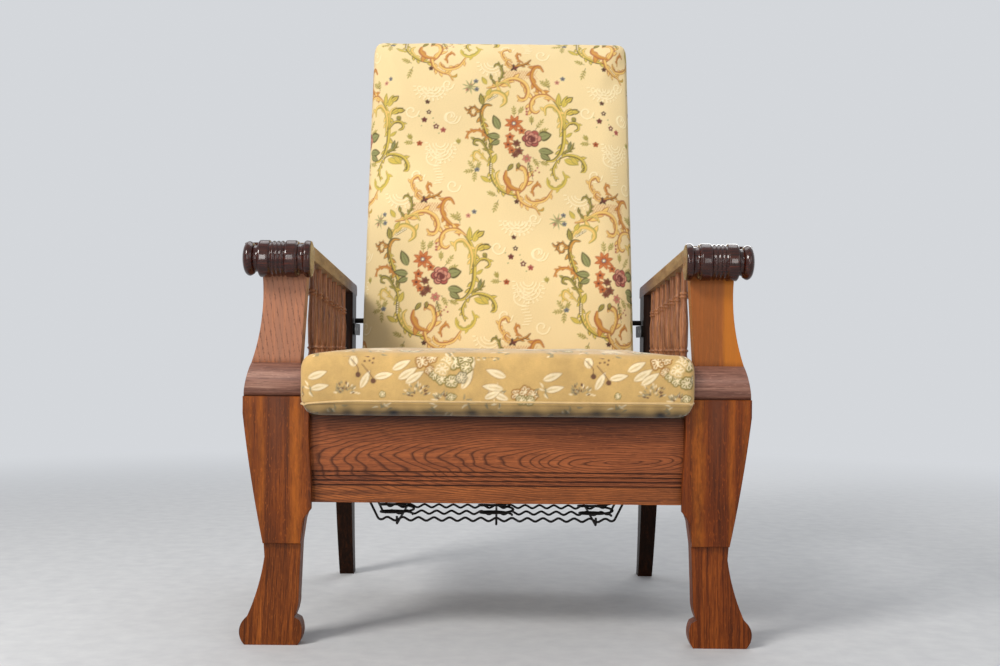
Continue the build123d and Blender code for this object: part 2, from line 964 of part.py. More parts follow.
def support_rod():
    length = 2 * (half_seat - rod_end_gap)
    rod = Cylinder(rod_radius, length, rotation=(0, 90, 0))
    ends = rod.faces().filter_by(GeomType.PLANE).edges()
    return Pos(0, rod_stops()[0], rod_z) * chamfer(ends, rod_end_gap / 2)


def rack():
    """An iron strip on the post's inner face, notched where the rod stops."""
    top = rod_z - rod_radius - running_gap
    x_span = (half_seat - rack_thick, half_seat)
    front = post_front + rack_lead / 2
    rear = rod_stops()[-1] + rack_lead
    solid = block(x_span, (front, rear), (top - rack_height, top))
    ends = solid.edges().filter_by(Axis.X).sort_by(Axis.Z)[:2]
    solid = fillet(ends, rack_height / 3)
    for y in rod_stops():
        steps = [[at_y(y, top - rack_notch)], [at_y(y + rack_notch / 2, top)]]
        solid -= side_prism(closed_face(at_y(y - rack_notch / 2, top), steps), x_span)
    return solid - screws_of(rack_screw_places())


# All pieces by name

def both_sides(name, right):
    return {f"{name}_left": mirrored(right), f"{name}_right": right}


def frame_pieces():
    pieces = both_sides("front_leg", front_leg())
    pieces |= both_sides("leg_block", leg_block())
    pieces |= both_sides("leg_moulding", leg_moulding())
    pieces |= both_sides("arm_board", arm_board())
    pieces |= both_sides("arm_roll", arm_roll())
    pieces |= both_sides("rear_post", rear_post())
    pieces |= both_sides("side_rail", side_rail())
    pieces |= {"front_rail": front_rail(), "rear_rail": rear_rail()}
    for number, y in enumerate(spindle_places(), start=1):
        right = spindle(y)
        pieces[f"spindle_left_{number}"] = mirrored(right)
        pieces[f"spindle_right_{number}"] = right
    return pieces


def spring_pieces():
    """Nine springs, the wires in two groups, and the cloth over them."""
    coil = coil_spring()
    pieces = {}
    for row, y in zip(("front", "middle", "rear"), spring_depths()):
        for side, x in zip(("left", "centre", "right"), spring_columns()):
            pieces[f"spring_{row}_{side}"] = Pos(x, y, 0) * coil
    pieces["cross_wires"] = Compound([cross_wire(y) for y in wire_rows()])
    pieces["length_wires"] = Compound([length_wire(x) for x in spring_columns()])
    pieces["deck_cloth"] = deck_cloth()
    return pieces


def back_pieces():
    """The pieces that lean with the back."""
    pieces = both_sides("back_stile", back_stile())
    pieces |= both_sides("moving_leaf", moving_leaf())
    pieces |= {"back_top_rail": back_top_rail(), "back_bottom_rail": back_bottom_rail()}
    pieces |= {"back_pad": back_pad(), "back_cloth": back_cloth()}
    pieces["back_screws"] = Compound(screws_of(moving_screw_places()))
    return {name: place_back(shape) for name, shape in pieces.items()}


def iron_pieces():
    """The hinges' fixed parts, the racks and the rod."""
    pieces = both_sides("fixed_leaf", fixed_leaf())
    pieces["hinge_pins"] = Compound([mirrored(hinge_pin()), hinge_pin()])
    pieces |= both_sides("rack", rack())
    rack_screws = screws_of(rack_screw_places())
    rack_screws += [mirrored(one) for one in rack_screws]
    pieces["frame_screws"] = Compound(screws_of(fixed_screw_places()) + rack_screws)
    pieces["support_rod"] = support_rod()
    return pieces


def all_pieces():
    pieces = frame_pieces() | spring_pieces() | iron_pieces() | back_pieces()
    pieces["seat_cushion"] = seat_cushion()
    return pieces


def middle_depth(pieces):
    """The y halfway between the chair's foremost and rearmost points."""
    boxes = [shape.bounding_box() for shape in pieces.values()]
    front = min(box.min.Y for box in boxes)
    rear = max(box.max.Y for box in boxes)
    return (front + rear) / 2


def main():
    pieces = all_pieces()
    middle = middle_depth(pieces)
    for name, shape in pieces.items():
        export_step(Pos(0, -middle, 0) * shape, f"parts/{name}.step")
    stops = rod_stops()
    travel = stops[-1] - stops[0]
    print("pieces", len(pieces))
    print("front plane at y", round(-middle, 3))
    print("hinge axis at y, z", round(hinge_y - middle, 3), hinge_z)
    print("rod at y", round(stops[0] - middle, 3), "travel", round(travel, 3))
    print("rod travel per radian", round(travel / radians(recline_range), 3))
    print("least gap of a spring to itself", round(least_spring_gap(), 2))


main()
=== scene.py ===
import json
import math

import bmesh
import bpy
import numpy as np
from mathutils import Euler, Matrix, Vector
from mathutils.kdtree import KDTree


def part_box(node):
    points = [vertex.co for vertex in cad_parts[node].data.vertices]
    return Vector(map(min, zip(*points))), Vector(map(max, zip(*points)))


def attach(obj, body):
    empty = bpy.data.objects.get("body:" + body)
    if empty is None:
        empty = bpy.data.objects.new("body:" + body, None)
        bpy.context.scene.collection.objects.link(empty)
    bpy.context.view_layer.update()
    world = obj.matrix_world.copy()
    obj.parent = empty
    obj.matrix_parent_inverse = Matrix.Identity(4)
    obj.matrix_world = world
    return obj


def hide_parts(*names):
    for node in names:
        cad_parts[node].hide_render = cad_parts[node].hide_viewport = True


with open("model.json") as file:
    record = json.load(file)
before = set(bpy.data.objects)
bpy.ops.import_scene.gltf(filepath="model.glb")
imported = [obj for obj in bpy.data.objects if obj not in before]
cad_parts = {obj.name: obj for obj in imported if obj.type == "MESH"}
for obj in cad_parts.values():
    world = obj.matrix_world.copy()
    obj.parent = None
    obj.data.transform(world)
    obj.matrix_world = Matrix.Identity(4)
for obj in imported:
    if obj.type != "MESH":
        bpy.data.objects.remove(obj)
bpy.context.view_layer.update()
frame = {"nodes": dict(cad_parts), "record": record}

# Lengths are in metres. The chair faces -Y and stands on z = 0.
mm = 0.001
front_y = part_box("leg_block_left")[0][1]
hinge = Vector(frame["record"]["behaviour"]["joints"][0]["pos_m"])
back_lean = math.radians(16.4)
back_place = Matrix.Translation(hinge) @ Matrix.Rotation(-back_lean, 4, "X")

# Camera, from the photograph's perspective
camera_distance, camera_height = 1800 * mm, 435 * mm
camera_lens, sensor_width = 44.4, 36.0
camera_shift = (0.0022, 0.0172)
camera_roll = math.radians(-0.5)

# Lamps: name, place, target, size, watts and colour
chair_middle = (0.0, 0.0, 0.55)
lamps = (
    ("key", (-1.9, -2.2, 2.3), chair_middle, (0.9, 0.8), 76, (1.0, 0.97, 0.93)),
    ("fill", (2.0, -2.0, 1.4), chair_middle, (1.4, 1.4), 8, (0.96, 0.98, 1.0)),
    ("left_strip", (-0.88, -2.9, 0.85), chair_middle, (0.26, 1.2), 16, (1.0, 0.98, 0.96)),
    ("right_strip", (0.88, -2.9, 0.85), chair_middle, (0.26, 1.2), 9, (1.0, 0.98, 0.96)),
    ("top", (0.0, 0.9, 2.9), (0.0, 0.1, 0.5), (2.2, 1.4), 25, (1.0, 1.0, 1.0)),
    ("behind", (0.9, 2.8, 1.6), chair_middle, (1.6, 1.2), 20, (1.0, 0.99, 0.97)),
)
backdrop = (0.66, 0.68, 0.71)
soft_light, soft_strength = (0.80, 0.84, 0.90), 0.30
floor_half, floor_fade = 9.0, (1.0, 3.4)


def srgb(*levels):
    """A screen colour, 0 to 255, as linear light."""
    shares = [level / 255 for level in levels]
    return tuple(share / 12.92 if share <= 0.04045 else ((share + 0.055) / 1.055) ** 2.4
                 for share in shares)


def with_alpha(colour):
    return (*colour, 1.0)


def link_object(name, data):
    made = bpy.data.objects.new(name, data)
    bpy.context.scene.collection.objects.link(made)
    return made


def make_camera():
    data = bpy.data.cameras.new("photo_camera")
    data.lens, data.sensor_width = camera_lens, sensor_width
    data.shift_x, data.shift_y = camera_shift
    data.clip_start, data.clip_end = 0.05, 50.0
    camera = link_object("photo_camera", data)
    camera.location = (0.0, front_y - camera_distance, camera_height)
    camera.rotation_euler = (math.pi / 2, camera_roll, 0.0)
    bpy.context.scene.camera = camera


def make_lights():
    for name, place, target, size, watts, colour in lamps:
        data = bpy.data.lights.new(name, "AREA")
        data.shape = "RECTANGLE"
        data.size, data.size_y = size
        data.energy, data.color = watts, colour
        lamp = link_object(name, data)
        lamp.location = place
        aim = Vector(target) - Vector(place)
        lamp.rotation_euler = aim.to_track_quat("-Z", "Y").to_euler()


class Nodes:
    """Short calls for building one tree of shader nodes."""

    def __init__(self, tree):
        self.tree = tree

    def add(self, kind, sockets=None, **settings):
        """A node, with its settings and with values or links on its sockets."""
        node = self.tree.nodes.new("ShaderNode" + kind)
        for key, value in settings.items():
            setattr(node, key, value)
        for key, value in (sockets or {}).items():
            self.feed(value, node.inputs[key])
        return node

    def feed(self, value, socket):
        if isinstance(value, bpy.types.NodeSocket):
            self.tree.links.new(value, socket)
        else:
            socket.default_value = with_alpha(value) if socket.type == "RGBA" else value

    def place(self, scale=(1, 1, 1), turn=(0, 0, 0), centre=(0, 0, 0), source=None):
        """Object coordinates or another source, scaled, or turned about a centre."""
        if source is None:
            source = self.add("TexCoord").outputs["Object"]
        shift = Euler(turn).to_matrix() @ -Vector(centre)
        sockets = {"Vector": source, "Location": shift, "Rotation": turn, "Scale": scale}
        return self.add("Mapping", sockets).outputs["Vector"]

    def noise(self, scale, detail=3.0, rough=0.55, **places):
        """Uneven values from 0 to 1. scale is one for all axes or three."""
        scale = scale if hasattr(scale, "__len__") else (scale,) * 3
        sockets = {"Vector": self.place(scale, **places), "Scale": 1.0, "Detail": detail, "Roughness": rough}
        return self.add("TexNoise", sockets).outputs["Fac"]

    def wave(self, spot, pitch, sockets=None, **settings):
        """Bands or rings this far apart."""
        sockets = {"Vector": spot, "Scale": 2 * math.pi / (20 * pitch), **(sockets or {})}
        return self.add("TexWave", sockets, **settings).outputs["Fac"]

    def ramp(self, value, *stops):
        """Colours or greys at places from 0 to 1."""
        node = self.add("ValToRGB", {"Fac": value})
        elements = node.color_ramp.elements
        while len(elements) < len(stops):
            elements.new(0.5)
        for element, (place, colour) in zip(elements, stops):
            element.position = place
            element.color = with_alpha(colour if hasattr(colour, "__len__") else (colour,) * 3)
        return node.outputs["Color"]

    def mix(self, share, first, second, blend="MIX"):
        sockets = {"Factor": share, "A": first, "B": second}
        return self.add("Mix", sockets, data_type="RGBA", blend_type=blend).outputs["Result"]

    def math(self, operation, first, second=0.0):
        return self.add("Math", {0: first, 1: second}, operation=operation).outputs[0]

    def plus(self, total, *others):
        for value in others:
            total = self.math("ADD", total, value)
        return total

    def times(self, total, *others):
        for value in others:
            total = self.math("MULTIPLY", total, value)
        return total

    def off(self, value, weight):
        """A 0 to 1 value's distance from a half, times a weight."""
        return self.times(self.math("SUBTRACT", value, 0.5), weight)

    def bump(self, height, strength, distance, under=None):
        sockets = {"Height": height, "Strength": strength, "Distance": distance}
        if under is not None:
            sockets["Normal"] = under
        return self.add("Bump", sockets).outputs["Normal"]

    def part(self, axis):
        """One object coordinate, as a distance from the middle plane for X."""
        value = self.add("SeparateXYZ", {0: self.place()}).outputs[axis]
        return self.math("ABSOLUTE", value) if axis == "X" else value

    def span(self, value, start, end):
        """0 at start and 1 at end, eased between them."""
        sockets = {"Value": value, "From Min": start, "From Max": end}
        return self.add("MapRange", sockets, interpolation_type="SMOOTHSTEP").outputs[0]

    def band(self, value, middle, reach):
        """1 at middle, falling to 0 at reach from it."""
        off = self.math("ABSOLUTE", self.math("SUBTRACT", value, middle))
        return self.math("SUBTRACT", 1.0, self.span(off, 0.0, reach))

    def seen_by_camera(self):
        """1 for rays that show a thing to the camera, straight, by gloss or through glass, else 0."""
        rays = self.add("LightPath").outputs
        share = self.math("MAXIMUM", rays["Is Camera Ray"], rays["Is Glossy Ray"])
        return self.math("MAXIMUM", share, rays["Is Transmission Ray"])


class Finish(Nodes):
    """The nodes of one new material."""

    def __init__(self, name):
        self.material = bpy.data.materials.new(name)
        self.material.use_nodes = True
        super().__init__(self.material.node_tree)
        self.shader = self.tree.nodes["Principled BSDF"]

    def set(self, **values):
        """Values or links on the shader's own sockets."""
        for key, value in values.items():
            socket = key.replace("_", " ").title().replace("Ior", "IOR")
            self.feed(value, self.shader.inputs[socket])
        return self.material


# Wood

plank_foot, block_top = (0.405, 0.425), (0.20, 0.36)
orange_edge = (0.327, 0.333)
brown_streak = (0.322, 0.020)
orange_streaks = ((0.295, 0.014, 0.4), (0.344, 0.009, 0.3), (0.362, 0.008, 0.2))
arm_rubbed_back, arm_rubbed_front = front_y + 0.56, front_y + 0.30
arm_rubbed_out, arm_rubbed_in = 0.300, 0.279
groove_low, groove_count, groove_pitch = 234 * mm, 4, 6.6
rail_top_shadow = (0.314, 0.337)


def along(axis, across, run):
    """A scale of across on two axes and of run along the grain."""
    return tuple(run if letter == axis else across for letter in "xyz")


def edge_normal(nodes, radius):
    """The surface's normal, eased over its sharp edges."""
    return nodes.add("Bevel", {"Radius": radius}, samples=4).outputs["Normal"]


def ring_lines(nodes, axis, centre, pitch, tilt):
    """Growth rings round a line along the grain through centre. The tilt draws them out to points."""
    turn = (0, 0, tilt) if axis == "x" else (tilt, tilt * 0.7, 0)
    waver = nodes.add("TexNoise", {"Vector": nodes.place(along(axis, 26, 6)), "Scale": 1.0, "Detail": 2.0})
    sockets = {0: waver.outputs["Color"], 1: (18 * mm,) * 3, 2: nodes.place(turn=turn, centre=centre)}
    spot = nodes.add("VectorMath", sockets, operation="MULTIPLY_ADD").outputs[0]
    rings = nodes.wave(spot, pitch, wave_type="RINGS", rings_direction=axis.upper(), wave_profile="SAW")
    return nodes.ramp(rings, (0.0, 0.0), (0.10, 0.35), (0.26, 1.0), (0.86, 0.9), (1.0, 0.15))


def oak(name, axis, shades, centre, pitch=6 * mm, tilt=0.05, lines=0.35, gloss=0.42, flecks=0.2,
        worn=None, shine=0.16):
    """Oiled oak: thin ring lines cut at a slant, long streaks, open pores and small bright flecks."""
    light, middle, dark = shades
    nodes = Finish(name)
    rings = ring_lines(nodes, axis, centre, pitch, tilt)
    streaks = nodes.noise(along(axis, 150, 4), rough=0.6)
    fibres = nodes.noise(along(axis, 640, 22), rough=0.6)
    pores = nodes.ramp(nodes.noise(along(axis, 1100, 60), 1.0), (0.34, 0.0), (0.42, 1.0))
    patches = nodes.noise(along(axis, 12, 4))
    slant = nodes.noise(along(axis, 420, 130), 1.0, turn=(0.5, 0.5, 0.5))
    bright = nodes.times(nodes.ramp(slant, (0.60, 0.0), (0.72, 1.0)), flecks)
    tone = nodes.plus(nodes.off(streaks, 1.3), nodes.off(fibres, 0.9), nodes.off(patches, 0.9), 0.5)
    shade = nodes.ramp(tone, (0.08, dark), (0.5, middle), (0.92, light))
    shade = nodes.mix(bright, shade, tuple(min(1, value * 1.35) for value in light))
    deep = tuple(value * 0.55 for value in dark)
    for gaps, share in ((rings, lines), (pores, 0.5)):
        shade = nodes.mix(nodes.times(nodes.math("SUBTRACT", 1.0, gaps), share), shade, deep)
    if worn:
        shade = worn(nodes, shade)
    height = nodes.plus(nodes.times(pores, 0.8), nodes.times(fibres, 0.4))
    normal = nodes.bump(height, 0.4, 0.22 * mm, edge_normal(nodes, 1.1 * mm))
    rough = nodes.plus(nodes.times(fibres, 0.24), gloss - 0.12)
    return nodes.set(base_color=shade, normal=normal, roughness=rough, specular_ior_level=shine)


def worn_arm(nodes, shade):
    """The arm's finish is rubbed through to pale oak towards its front and along its inner edge."""
    forward = nodes.span(nodes.part("Y"), arm_rubbed_back, arm_rubbed_front)
    inward = nodes.span(nodes.part("X"), arm_rubbed_out, arm_rubbed_in)
    rubbed = nodes.ramp(nodes.noise((90, 16, 90), 5.0, 0.7), (0.30, 0.15), (0.62, 1.0))
    return nodes.mix(nodes.times(forward, inward, rubbed), shade, srgb(158, 130, 92))


def pink_sheen_upright(nodes, shade):
    """The left plank is paler and pinker above its moulding, a painted sheen, with slanted rows of dark
    pores.
    """
    above = nodes.span(nodes.part("Z"), *plank_foot)
    # Painted sheen: a pale pink above the moulding.
    shade = nodes.mix(nodes.times(above, 0.5), shade, srgb(192, 138, 110))
    spot = nodes.place(turn=(0, 0.17, 0), centre=(-0.33, 0, 0.48))
    rows = nodes.wave(spot, 7.5 * mm, {"Distortion": 2.2, "Detail Scale": 14.0},
                      bands_direction="X", wave_profile="SAW")
    lines = nodes.ramp(rows, (0.0, 1.0), (0.10, 0.8), (0.24, 0.0))
    gaps = nodes.ramp(nodes.noise((300, 300, 90), 2.0), (0.40, 0.25), (0.55, 1.0))
    return nodes.mix(nodes.times(lines, gaps, nodes.times(above, 0.8)), shade, srgb(80, 48, 38))


def orange_upright(nodes, shade):
    """The right plank has a bright orange outer half above its moulding."""
    above = nodes.span(nodes.part("Z"), *plank_foot)
    shade = nodes.mix(nodes.times(above, 0.5), shade, srgb(172, 102, 46))
    edge = nodes.plus(nodes.part("X"), nodes.off(nodes.noise((60, 60, 9), 4.0), 12 * mm))
    share = nodes.times(nodes.span(edge, *orange_edge), above, 0.55)
    return nodes.mix(share, shade, srgb(200, 118, 26))


def block_streaks(nodes, shade):
    """A brown streak down from the top, and orange streaks on both sides of it."""
    across = nodes.plus(nodes.part("X"), nodes.off(nodes.noise((70, 70, 7), 4.0), 16 * mm))
    patchy = nodes.ramp(nodes.noise((160, 160, 34), 4.0, 0.7), (0.3, 0.2), (0.66, 1.4))
    upper = nodes.span(nodes.part("Z"), *block_top)
    brown_share = nodes.times(nodes.band(across, *brown_streak), upper, 0.6)
    shade = nodes.mix(brown_share, shade, srgb(92, 52, 34))
    for middle, reach, share in orange_streaks:
        streak = nodes.times(nodes.band(across, middle, reach), nodes.times(patchy, share))
        shade = nodes.mix(streak, shade, srgb(184, 102, 28))
    return shade


def rail_marks(nodes, shade):
    """Dark grooves, a paler band below them, and a painted shadow of the cushion along the top."""
    height = nodes.part("Z")
    below = nodes.span(height, groove_low + 1 * mm, groove_low - 1 * mm)
    shade = nodes.mix(below, shade, (1.18, 1.24, 1.05), "MULTIPLY")
    for number in range(groove_count):
        line = nodes.band(height, groove_low + (1.0 + groove_pitch * number) * mm, 1.6 * mm)
        shade = nodes.mix(nodes.times(line, 0.85), shade, srgb(34, 17, 12))
    # Painted shadow of the cushion along the rail's top.
    cushion_shadow = nodes.times(nodes.span(height, *rail_top_shadow), 0.72)
    return nodes.mix(cushion_shadow, shade, srgb(36, 20, 14))


def mahogany():
    """Polished red-brown wood with a clear coat."""
    nodes = Finish("mahogany_polish")
    streaks = nodes.noise((22, 420, 420), 4.0, 0.6)
    shade = nodes.ramp(streaks, (0.25, srgb(22, 6, 4)), (0.55, srgb(50, 15, 7)), (0.8, srgb(90, 34, 14)))
    dust = nodes.ramp(nodes.noise(60), (0.45, 0.0), (0.8, 0.16))
    return nodes.set(base_color=nodes.mix(dust, shade, srgb(96, 66, 48)),
                     roughness=nodes.ramp(streaks, (0.2, 0.15), (0.9, 0.25)),
                     normal=nodes.bump(streaks, 0.08, 0.2 * mm),
                     coat_weight=0.25, coat_roughness=0.08, specular_ior_level=0.3)


def black_iron():
    nodes = Finish("black_iron")
    spots = nodes.noise(180, 5.0, 0.7)
    shade = nodes.ramp(spots, (0.35, srgb(16, 15, 15)), (0.62, srgb(30, 26, 24)), (0.8, srgb(74, 44, 28)))
    return nodes.set(base_color=shade, roughness=nodes.ramp(spots, (0.3, 0.42), (0.8, 0.75)),
                     normal=nodes.bump(spots, 0.3, 0.2 * mm), metallic=0.65)


def old_steel():
    nodes = Finish("old_steel")
    spots = nodes.noise(240, 4.0)
    shade = nodes.ramp(spots, (0.35, srgb(96, 90, 82)), (0.7, srgb(140, 130, 116)))
    return nodes.set(base_color=shade, roughness=nodes.ramp(spots, (0.3, 0.32), (0.8, 0.55)), metallic=1.0)


def linen(name, light, dark):
    """Plain woven backing cloth."""
    nodes = Finish(name)
    waves = [nodes.wave(nodes.place(), 1.6 * mm, bands_direction=way) for way in ("X", "Z")]
    return nodes.set(base_color=nodes.mix(nodes.noise(40, 4.0), dark, light),
                     normal=nodes.bump(nodes.times(*waves), 0.5, 0.4 * mm), roughness=0.92, sheen_weight=0.15)


def dress(material, *starts):
    """Gives a material to every CAD node whose name begins with one of these words."""
    for name, piece in frame["nodes"].items():
        if name.startswith(starts):
            piece.data.materials.clear()
            piece.data.materials.append(material)


def dimmed(shades, share):
    return tuple(tuple(np.multiply(shade, share)) for shade in shades)


def dress_legs():
    block = srgb(140, 74, 24), srgb(104, 51, 16), srgb(58, 28, 12)
    plank = srgb(164, 94, 38), srgb(120, 62, 22), srgb(66, 32, 13)
    # Each side's wood is tinted; the right side's copy is also darker, as painted shade, the left side being
    # lit more.
    for side, sign, upright, tint_and_shade in (("left", -1, pink_sheen_upright, (0.96, 0.87, 0.66)),
                                     ("right", 1, orange_upright, (0.85, 0.68, 0.48))):
        centre = (sign * 0.35, front_y + 0.03, 0.1)
        dress(oak(f"oak_block_{side}", "z", dimmed(block, tint_and_shade), centre, 7 * mm, 0.05 * sign, 0.14,
                  flecks=0.5, worn=block_streaks), f"leg_block_{side}")
        centre = (sign * 0.42, front_y + 0.06, 0.2)
        dress(oak(f"oak_leg_{side}", "z", dimmed(plank, tint_and_shade), centre, 7 * mm, 0.09 * sign, 0.5,
                  worn=upright), f"front_leg_{side}")


def dress_frame():
    rail = srgb(166, 94, 52), srgb(136, 74, 41), srgb(86, 45, 28)
    dress(oak("oak_rail", "x", rail, (0.27, front_y + 0.016, 0.280), 2.9 * mm, 0.135, 0.95, 0.45,
              worn=rail_marks), "front_rail")
    dress(oak("oak_side", "y", rail, (0.33, 0, 0.2), 8 * mm), "side_rail")
    dress(oak("oak_rear", "x", rail, (0, 0.25, 0.30), 5 * mm, 0.08), "rear_rail")
    arm = srgb(116, 68, 40), srgb(84, 46, 27), srgb(50, 28, 18)
    dress(oak("oak_arm", "y", arm, (0.36, 0, 0.5), 7 * mm, 0.06, worn=worn_arm), "arm_board")
    purple = srgb(172, 130, 110), srgb(138, 96, 80), srgb(98, 60, 48)
    dress(oak("oak_moulding", "x", purple, (0, front_y, 0.5), 9 * mm, 0.04, 0.15, 0.38, shine=0.35),
          "leg_moulding")
    # The posts' wood is made darker than its own colour, as painted shade where they stand in shadow.
    post = srgb(58, 31, 15), srgb(34, 18, 10), srgb(16, 9, 6)
    dress(oak("oak_post", "z", post, (0.36, 0.2, 0), 8 * mm, 0.04, shine=0.08), "rear_post")
    pale = srgb(206, 170, 120), srgb(176, 138, 92), srgb(140, 104, 66)
    dress(oak("plain_wood", "z", pale, (0.3, 0.3, 0), 9 * mm, gloss=0.6),
          "back_stile", "back_top", "back_bottom")


def dress_metal():
    dress(black_iron(), "spring", "cross_wires", "length_wires", "rack", "support_rod")
    dress(old_steel(), "fixed_leaf", "moving_leaf", "hinge_pins", "frame_screws", "back_screws")


# Woven patterns, drawn on a grid of cloth cells in millimetres

cell = 0.9


def heading(angle):
    return np.array([math.cos(angle), math.sin(angle)])


def smooth(points, steps=7):
    """A curve through the points."""
    points = np.asarray(points, float)
    padded = np.vstack([2 * points[0] - points[1], points, 2 * points[-1] - points[-2]])
    made = []
    for number in range(len(points) - 1):
        before, start, end, after = padded[number:number + 4]
        for share in np.linspace(0, 1, steps, endpoint=False):
            bend = (2 * before - 5 * start + 4 * end - after) * share ** 2
            turn = (3 * start - before - 3 * end + after) * share ** 3
            made.append((2 * start + (end - before) * share + bend + turn) / 2)
    made.append(points[-1])
    return np.array(made)


class Cloth:
    """A drawing of a cloth: a colour and a raised height for each cell."""

    def __init__(self, size, ground):
        columns, rows = (np.array(size, float) / cell).astype(int)
        self.paint = np.empty((rows, columns, 3))
        self.paint[:] = ground
        self.rise = np.zeros((rows, columns))

    def window(self, low, high):
        """The cells of one part of the drawing, with their places."""
        first = np.maximum(np.floor(low / cell).astype(int), 0)
        last = np.minimum(np.ceil(high / cell).astype(int), self.rise.shape[::-1])
        if (last <= first).any():
            return None
        across = (np.arange(first[0], last[0]) + 0.5) * cell
        up = (np.arange(first[1], last[1]) + 0.5) * cell
        return np.s_[first[1]:last[1], first[0]:last[0]], across[None, :], up[:, None]

    def lay(self, cells, cover, colour, rise):
        cover = np.clip(cover, 0, 1)
        spread = cover[..., None]
        self.paint[cells] = self.paint[cells] * (1 - spread) + np.asarray(colour) * spread
        self.rise[cells] = self.rise[cells] * (1 - cover) + rise * cover

    def stroke(self, points, widths, colour, rise=0.5):
        """A line, of one width or of one for each point."""
        widths = np.broadcast_to(widths, len(points))
        for start, end, wide, next_wide in zip(points, points[1:], widths, widths[1:]):
            reach = max(wide, next_wide) / 2 + 1
            found = self.window(np.minimum(start, end) - reach, np.maximum(start, end) + reach)
            if found is None:
                continue
            cells, across, up = found
            run = end - start
            share = ((across - start[0]) * run[0] + (up - start[1]) * run[1]) / max(run @ run, 1e-9)
            share = np.clip(share, 0, 1)
            off = np.hypot(across - start[0] - share * run[0], up - start[1] - share * run[1])
            half = (wide + (next_wide - wide) * share) / 2
            self.lay(cells, (half - off) / cell + 0.5, colour, rise)

    def dot(self, centre, radius, colour, rise=0.5):
        self.stroke([centre, centre + 0.01], 2 * radius, colour, rise)

    def leaf(self, base, angle, length, width, colour, rise=0.5, bend=0.0):
        """A pointed leaf or petal that starts at base."""
        way = heading(angle)
        found = self.window(base - length - width, base + length + width)
        if found is None:
            return
        cells, across, up = found
        run = (across - base[0]) * way[0] + (up - base[1]) * way[1]
        off = (up - base[1]) * way[0] - (across - base[0]) * way[1]
        share = np.clip(run / length, 0, 1)
        off = np.abs(off - bend * length * share ** 2)
        half = width / 2 * np.sin(math.pi * share ** 0.8) ** 0.8
        inside = np.where((run > 0) & (run < length), (half - off) / cell + 0.5, 0)
        self.lay(cells, inside, colour, rise)

    def veined_leaf(self, base, angle, length, width, dark, light):
        self.leaf(base, angle, length + 1, width + 1.4, dark, 0.5)
        self.leaf(base, angle, length * 0.93, width * 0.72, light, 0.6)
        self.stroke([base, base + length * 0.8 * heading(angle)], [0.9, 0.6], dark, 0.45)

    def scroll(self, points, width, light, dark, thins="both"):
        """A carved-looking band, dark along one edge, that thins to its ends."""
        line = smooth(points)
        share = np.linspace(0, 1, len(line))
        swell = {"both": np.sin(math.pi * share), "start": share, "end": 1 - share}[thins]
        widths = width * (0.22 + 0.78 * swell ** 0.6)
        ways = np.gradient(line, axis=0)
        ways /= np.maximum(np.linalg.norm(ways, axis=1), 1e-6)[:, None]
        side = np.stack([-ways[:, 1], ways[:, 0]], 1) * widths[:, None]
        middle = tuple((np.array(light) + np.array(dark)) / 2)
        self.curled_leaves(line, ways, width, light, dark)
        self.stroke(line, widths + 1.5, dark, 0.45)
        self.stroke(line + side * 0.12, widths * 0.86, middle, 0.6)
        self.stroke(line + side * 0.22, widths * 0.5, light, 0.75)

    def curled_leaves(self, line, ways, width, light, dark):
        """Small leaves that spring from both sides of a scroll."""
        run = np.concatenate([[0], np.cumsum(np.linalg.norm(np.diff(line, axis=0), axis=1))])
        for number, reach in enumerate(np.arange(1.2 * width, run[-1] - 2.6 * width, 2.1 * width)):
            spot = int(np.searchsorted(run, reach))
            side = -1 if number % 3 else 1
            angle = math.atan2(ways[spot][1], ways[spot][0]) + 0.35 * side
            self.leaf(line[spot], angle, 2.5 * width, 1.45 * width, dark, 0.5, 0.3 * side)
            self.leaf(line[spot], angle, 2.35 * width, 1.0 * width, light, 0.7, 0.3 * side)

    def flower(self, centre, radius, petals, light, dark, heart):
        """Round petals in two tones about a heart."""
        width = 2.3 * radius / petals * 1.35
        for number in range(petals):
            angle = 0.3 + 2 * math.pi * number / petals
            start = centre + radius * 0.12 * heading(angle)
            self.leaf(start, angle, radius, width + 1.2, dark, 0.5)
            self.leaf(start, angle, radius * 0.9, width * 0.8, light, 0.7)
            self.leaf(start, angle, radius * 0.45, width * 0.42, dark, 0.55)
        self.dot(centre, radius * 0.24, heart, 0.8)

    def rose(self, centre, radius, light, middle, dark):
        """A full rose: outer petals, then rings turned on each other."""
        for ring, (share, tone) in enumerate(((0.66, middle), (0.40, light), (0.16, dark))):
            for number in range(6 - ring):
                angle = 0.5 * ring + 2 * math.pi * number / (6 - ring)
                place = centre + radius * share * heading(angle)
                size = radius * (0.42 - 0.07 * ring)
                self.dot(place, size + 0.8, dark, 0.5)
                self.dot(place + 0.6, size * 0.86, tone if number % 2 else light, 0.7)
        fold = np.array(((-0.3, 0.1), (0, 0.32), (0.3, 0.1), (0.1, -0.25), (-0.15, -0.05)))
        self.stroke(smooth(centre + radius * fold), 1.3, dark)

    def star(self, centre, radius, colour, heart):
        for number in range(5):
            self.leaf(centre, 0.3 + number * 2 * math.pi / 5, radius, radius * 0.75, colour)
        self.dot(centre, radius * 0.25, heart)

    def twig(self, base, angle, length, colour, leaf_colour, pairs=3, size=7.0):
        """A thin stalk with paired leaves."""
        way = heading(angle)
        self.stroke([base, base + way * length], [1.1, 0.8], colour)
        for number in range(pairs):
            place = base + way * length * (number + 1) / (pairs + 0.6)
            for side in (-1, 1):
                self.leaf(place, angle + side * 0.75, size, size * 0.36, leaf_colour)
        self.leaf(base + way * length, angle, size, size * 0.4, leaf_colour)

